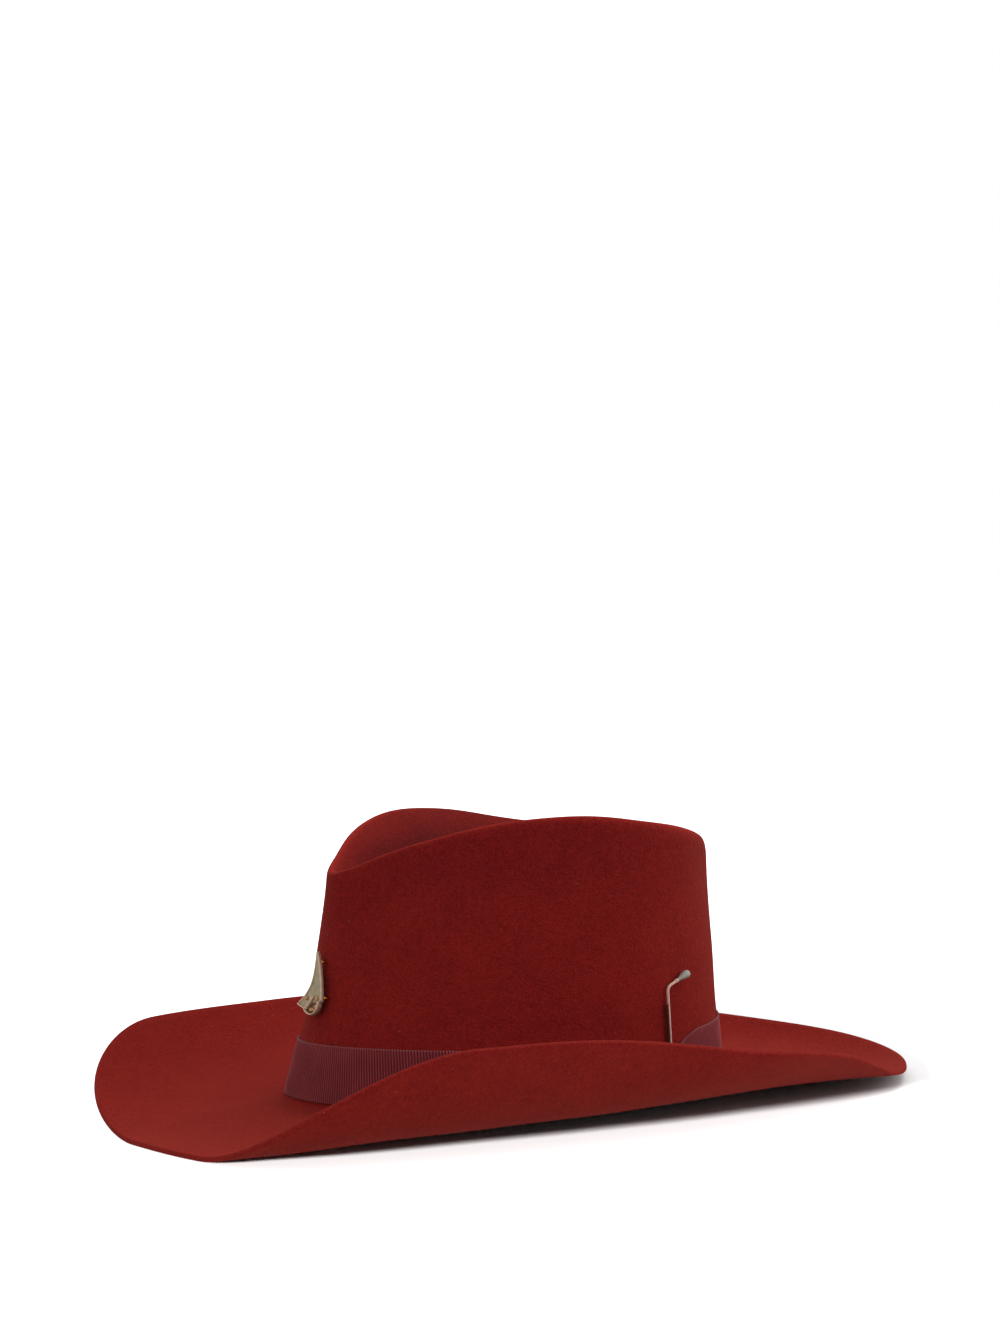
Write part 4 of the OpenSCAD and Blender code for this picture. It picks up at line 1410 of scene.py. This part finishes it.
class FELTHAT_OT_stage(HatOperator, bpy.types.Operator):
    """Lay the floor, hang the lights and set the camera at the photograph's angle"""

    bl_idname = "felt_hat.stage"
    bl_label = "Stage"

    # The floor lies a little under the lowest felt, in metres
    FLOOR_LOW = -0.0002
    # Light that the white room gives to the hat, and what the camera and reflections see of it
    ROOM_GIVEN = 0.70
    ROOM_SEEN = 1.0

    def execute(self, context):
        settings = context.scene.felt_hat
        form = hat_form()
        floor = self.floor(settings.stage)
        self.world(context.scene)
        self.lamps(floor)
        self.camera(context.scene, settings.stage, form)
        context.scene.view_settings.view_transform = "Standard"
        return {"FINISHED"}

    def floor(self, stage):
        half, low = stage.floor / 2, self.FLOOR_LOW
        corners = [(-half, -half, low), (half, -half, low), (half, half, low), (-half, half, low)]
        piece = new_object("floor", corners, [(0, 1, 2, 3)])
        piece.data.materials.append(floor_material())
        return piece

    def world(self, scene):
        """Even white room; the camera and reflections see plain white."""
        world = bpy.data.worlds.new("white_room")
        scene.world = world
        world.use_nodes = True
        tree = world.node_tree
        background = tree.nodes["Background"]
        background.inputs["Color"].default_value = (1, 1, 1, 1)
        seen = tree.nodes.new("ShaderNodeLightPath")
        level = tree.nodes.new("ShaderNodeMix")
        level.inputs["A"].default_value = self.ROOM_GIVEN
        level.inputs["B"].default_value = self.ROOM_SEEN
        shown = tree.nodes.new("ShaderNodeMath")
        shown.operation = "MAXIMUM"
        tree.links.new(seen.outputs["Is Camera Ray"], shown.inputs[0])
        tree.links.new(seen.outputs["Is Glossy Ray"], shown.inputs[1])
        tree.links.new(shown.outputs[0], level.inputs["Factor"])
        tree.links.new(level.outputs["Result"], background.inputs["Strength"])

    def lamps(self, floor):
        """A high light, a weaker one from behind the right side, and one for the floor's shadow."""
        self.sun("key_light", azimuth=190, elevation=58, strength=0.9, width=35)
        self.sun("side_light", azimuth=145, elevation=25, strength=0.6, width=40)
        shadow = self.sun("floor_light", azimuth=25, elevation=12.5, strength=12.0, width=6)
        lit = bpy.data.collections.new("floor_light_receivers")
        lit.objects.link(floor)
        shadow.light_linking.receiver_collection = lit

    def sun(self, name, azimuth, elevation, strength, width):
        """A wide distant light; its place and width are angles in degrees."""
        back = direction(math.radians(azimuth), math.radians(elevation))
        data = bpy.data.lights.new(name, "SUN")
        data.energy = strength
        data.angle = math.radians(width)
        lamp = bpy.data.objects.new(name, data)
        lamp.location = back
        lamp.rotation_euler = back.to_track_quat("Z", "Y").to_euler()
        bpy.context.scene.collection.objects.link(lamp)
        return lamp

    def camera(self, scene, stage, form):
        """Camera whose aim point falls on its pixel of the photograph."""
        up_axis = Vector((0, 0, 1))
        aim = Vector(form.on_frame(np.array([0, 0, stage.aim_up])))
        back = direction(stage.azimuth, stage.elevation)
        ahead = -back
        right = ahead.cross(up_axis).normalized()
        up = right.cross(ahead)
        yaw = math.atan2(stage.aim_x - stage.photo_width / 2, stage.focal)
        pitch = math.atan2(stage.aim_y - stage.photo_height / 2, stage.focal)
        ahead, up = turned(ahead, up, pitch)
        right, ahead = turned(right, ahead, yaw)
        right, up = turned(right, up, stage.roll)
        data = bpy.data.cameras.new("photo_camera")
        data.sensor_width = 36
        data.lens = data.sensor_width * stage.focal / stage.photo_height
        data.clip_end = 100
        camera = bpy.data.objects.new("photo_camera", data)
        turn = Matrix((right, up, -ahead)).transposed().to_4x4()
        camera.matrix_world = Matrix.Translation(aim + back * stage.distance) @ turn
        bpy.context.scene.collection.objects.link(camera)
        scene.camera = camera


class FELTHAT_PT_panel(bpy.types.Panel):
    """Lists the steps that build the hat"""

    bl_idname = "FELTHAT_PT_panel"
    bl_label = "Felt Hat"
    bl_space_type = "VIEW_3D"
    bl_region_type = "UI"
    bl_category = "Felt Hat"

    def draw(self, context):
        for step in STEPS:
            self.layout.operator(step.bl_idname)


GROUPS = (
    CrownSizes,
    BrimSizes,
    BandSizes,
    SweatSizes,
    BroochSizes,
    StickSizes,
    HatColours,
    StageSizes,
    HatSettings,
)
STEPS = (
    FELTHAT_OT_felt,
    FELTHAT_OT_band,
    FELTHAT_OT_sweatband,
    FELTHAT_OT_brooch,
    FELTHAT_OT_stick_pin,
    FELTHAT_OT_stage,
)


def register():
    for item in (*GROUPS, *STEPS, FELTHAT_PT_panel):
        bpy.utils.register_class(item)
    bpy.types.Scene.felt_hat = PointerProperty(type=HatSettings)


def unregister():
    del bpy.types.Scene.felt_hat
    for item in reversed((*GROUPS, *STEPS, FELTHAT_PT_panel)):
        bpy.utils.unregister_class(item)


def main():
    register()
    bpy.ops.felt_hat.felt()
    bpy.ops.felt_hat.band()
    bpy.ops.felt_hat.sweatband()
    bpy.ops.felt_hat.brooch()
    bpy.ops.felt_hat.stick_pin()
    bpy.ops.felt_hat.stage()


if __name__ == "__main__":
    main()
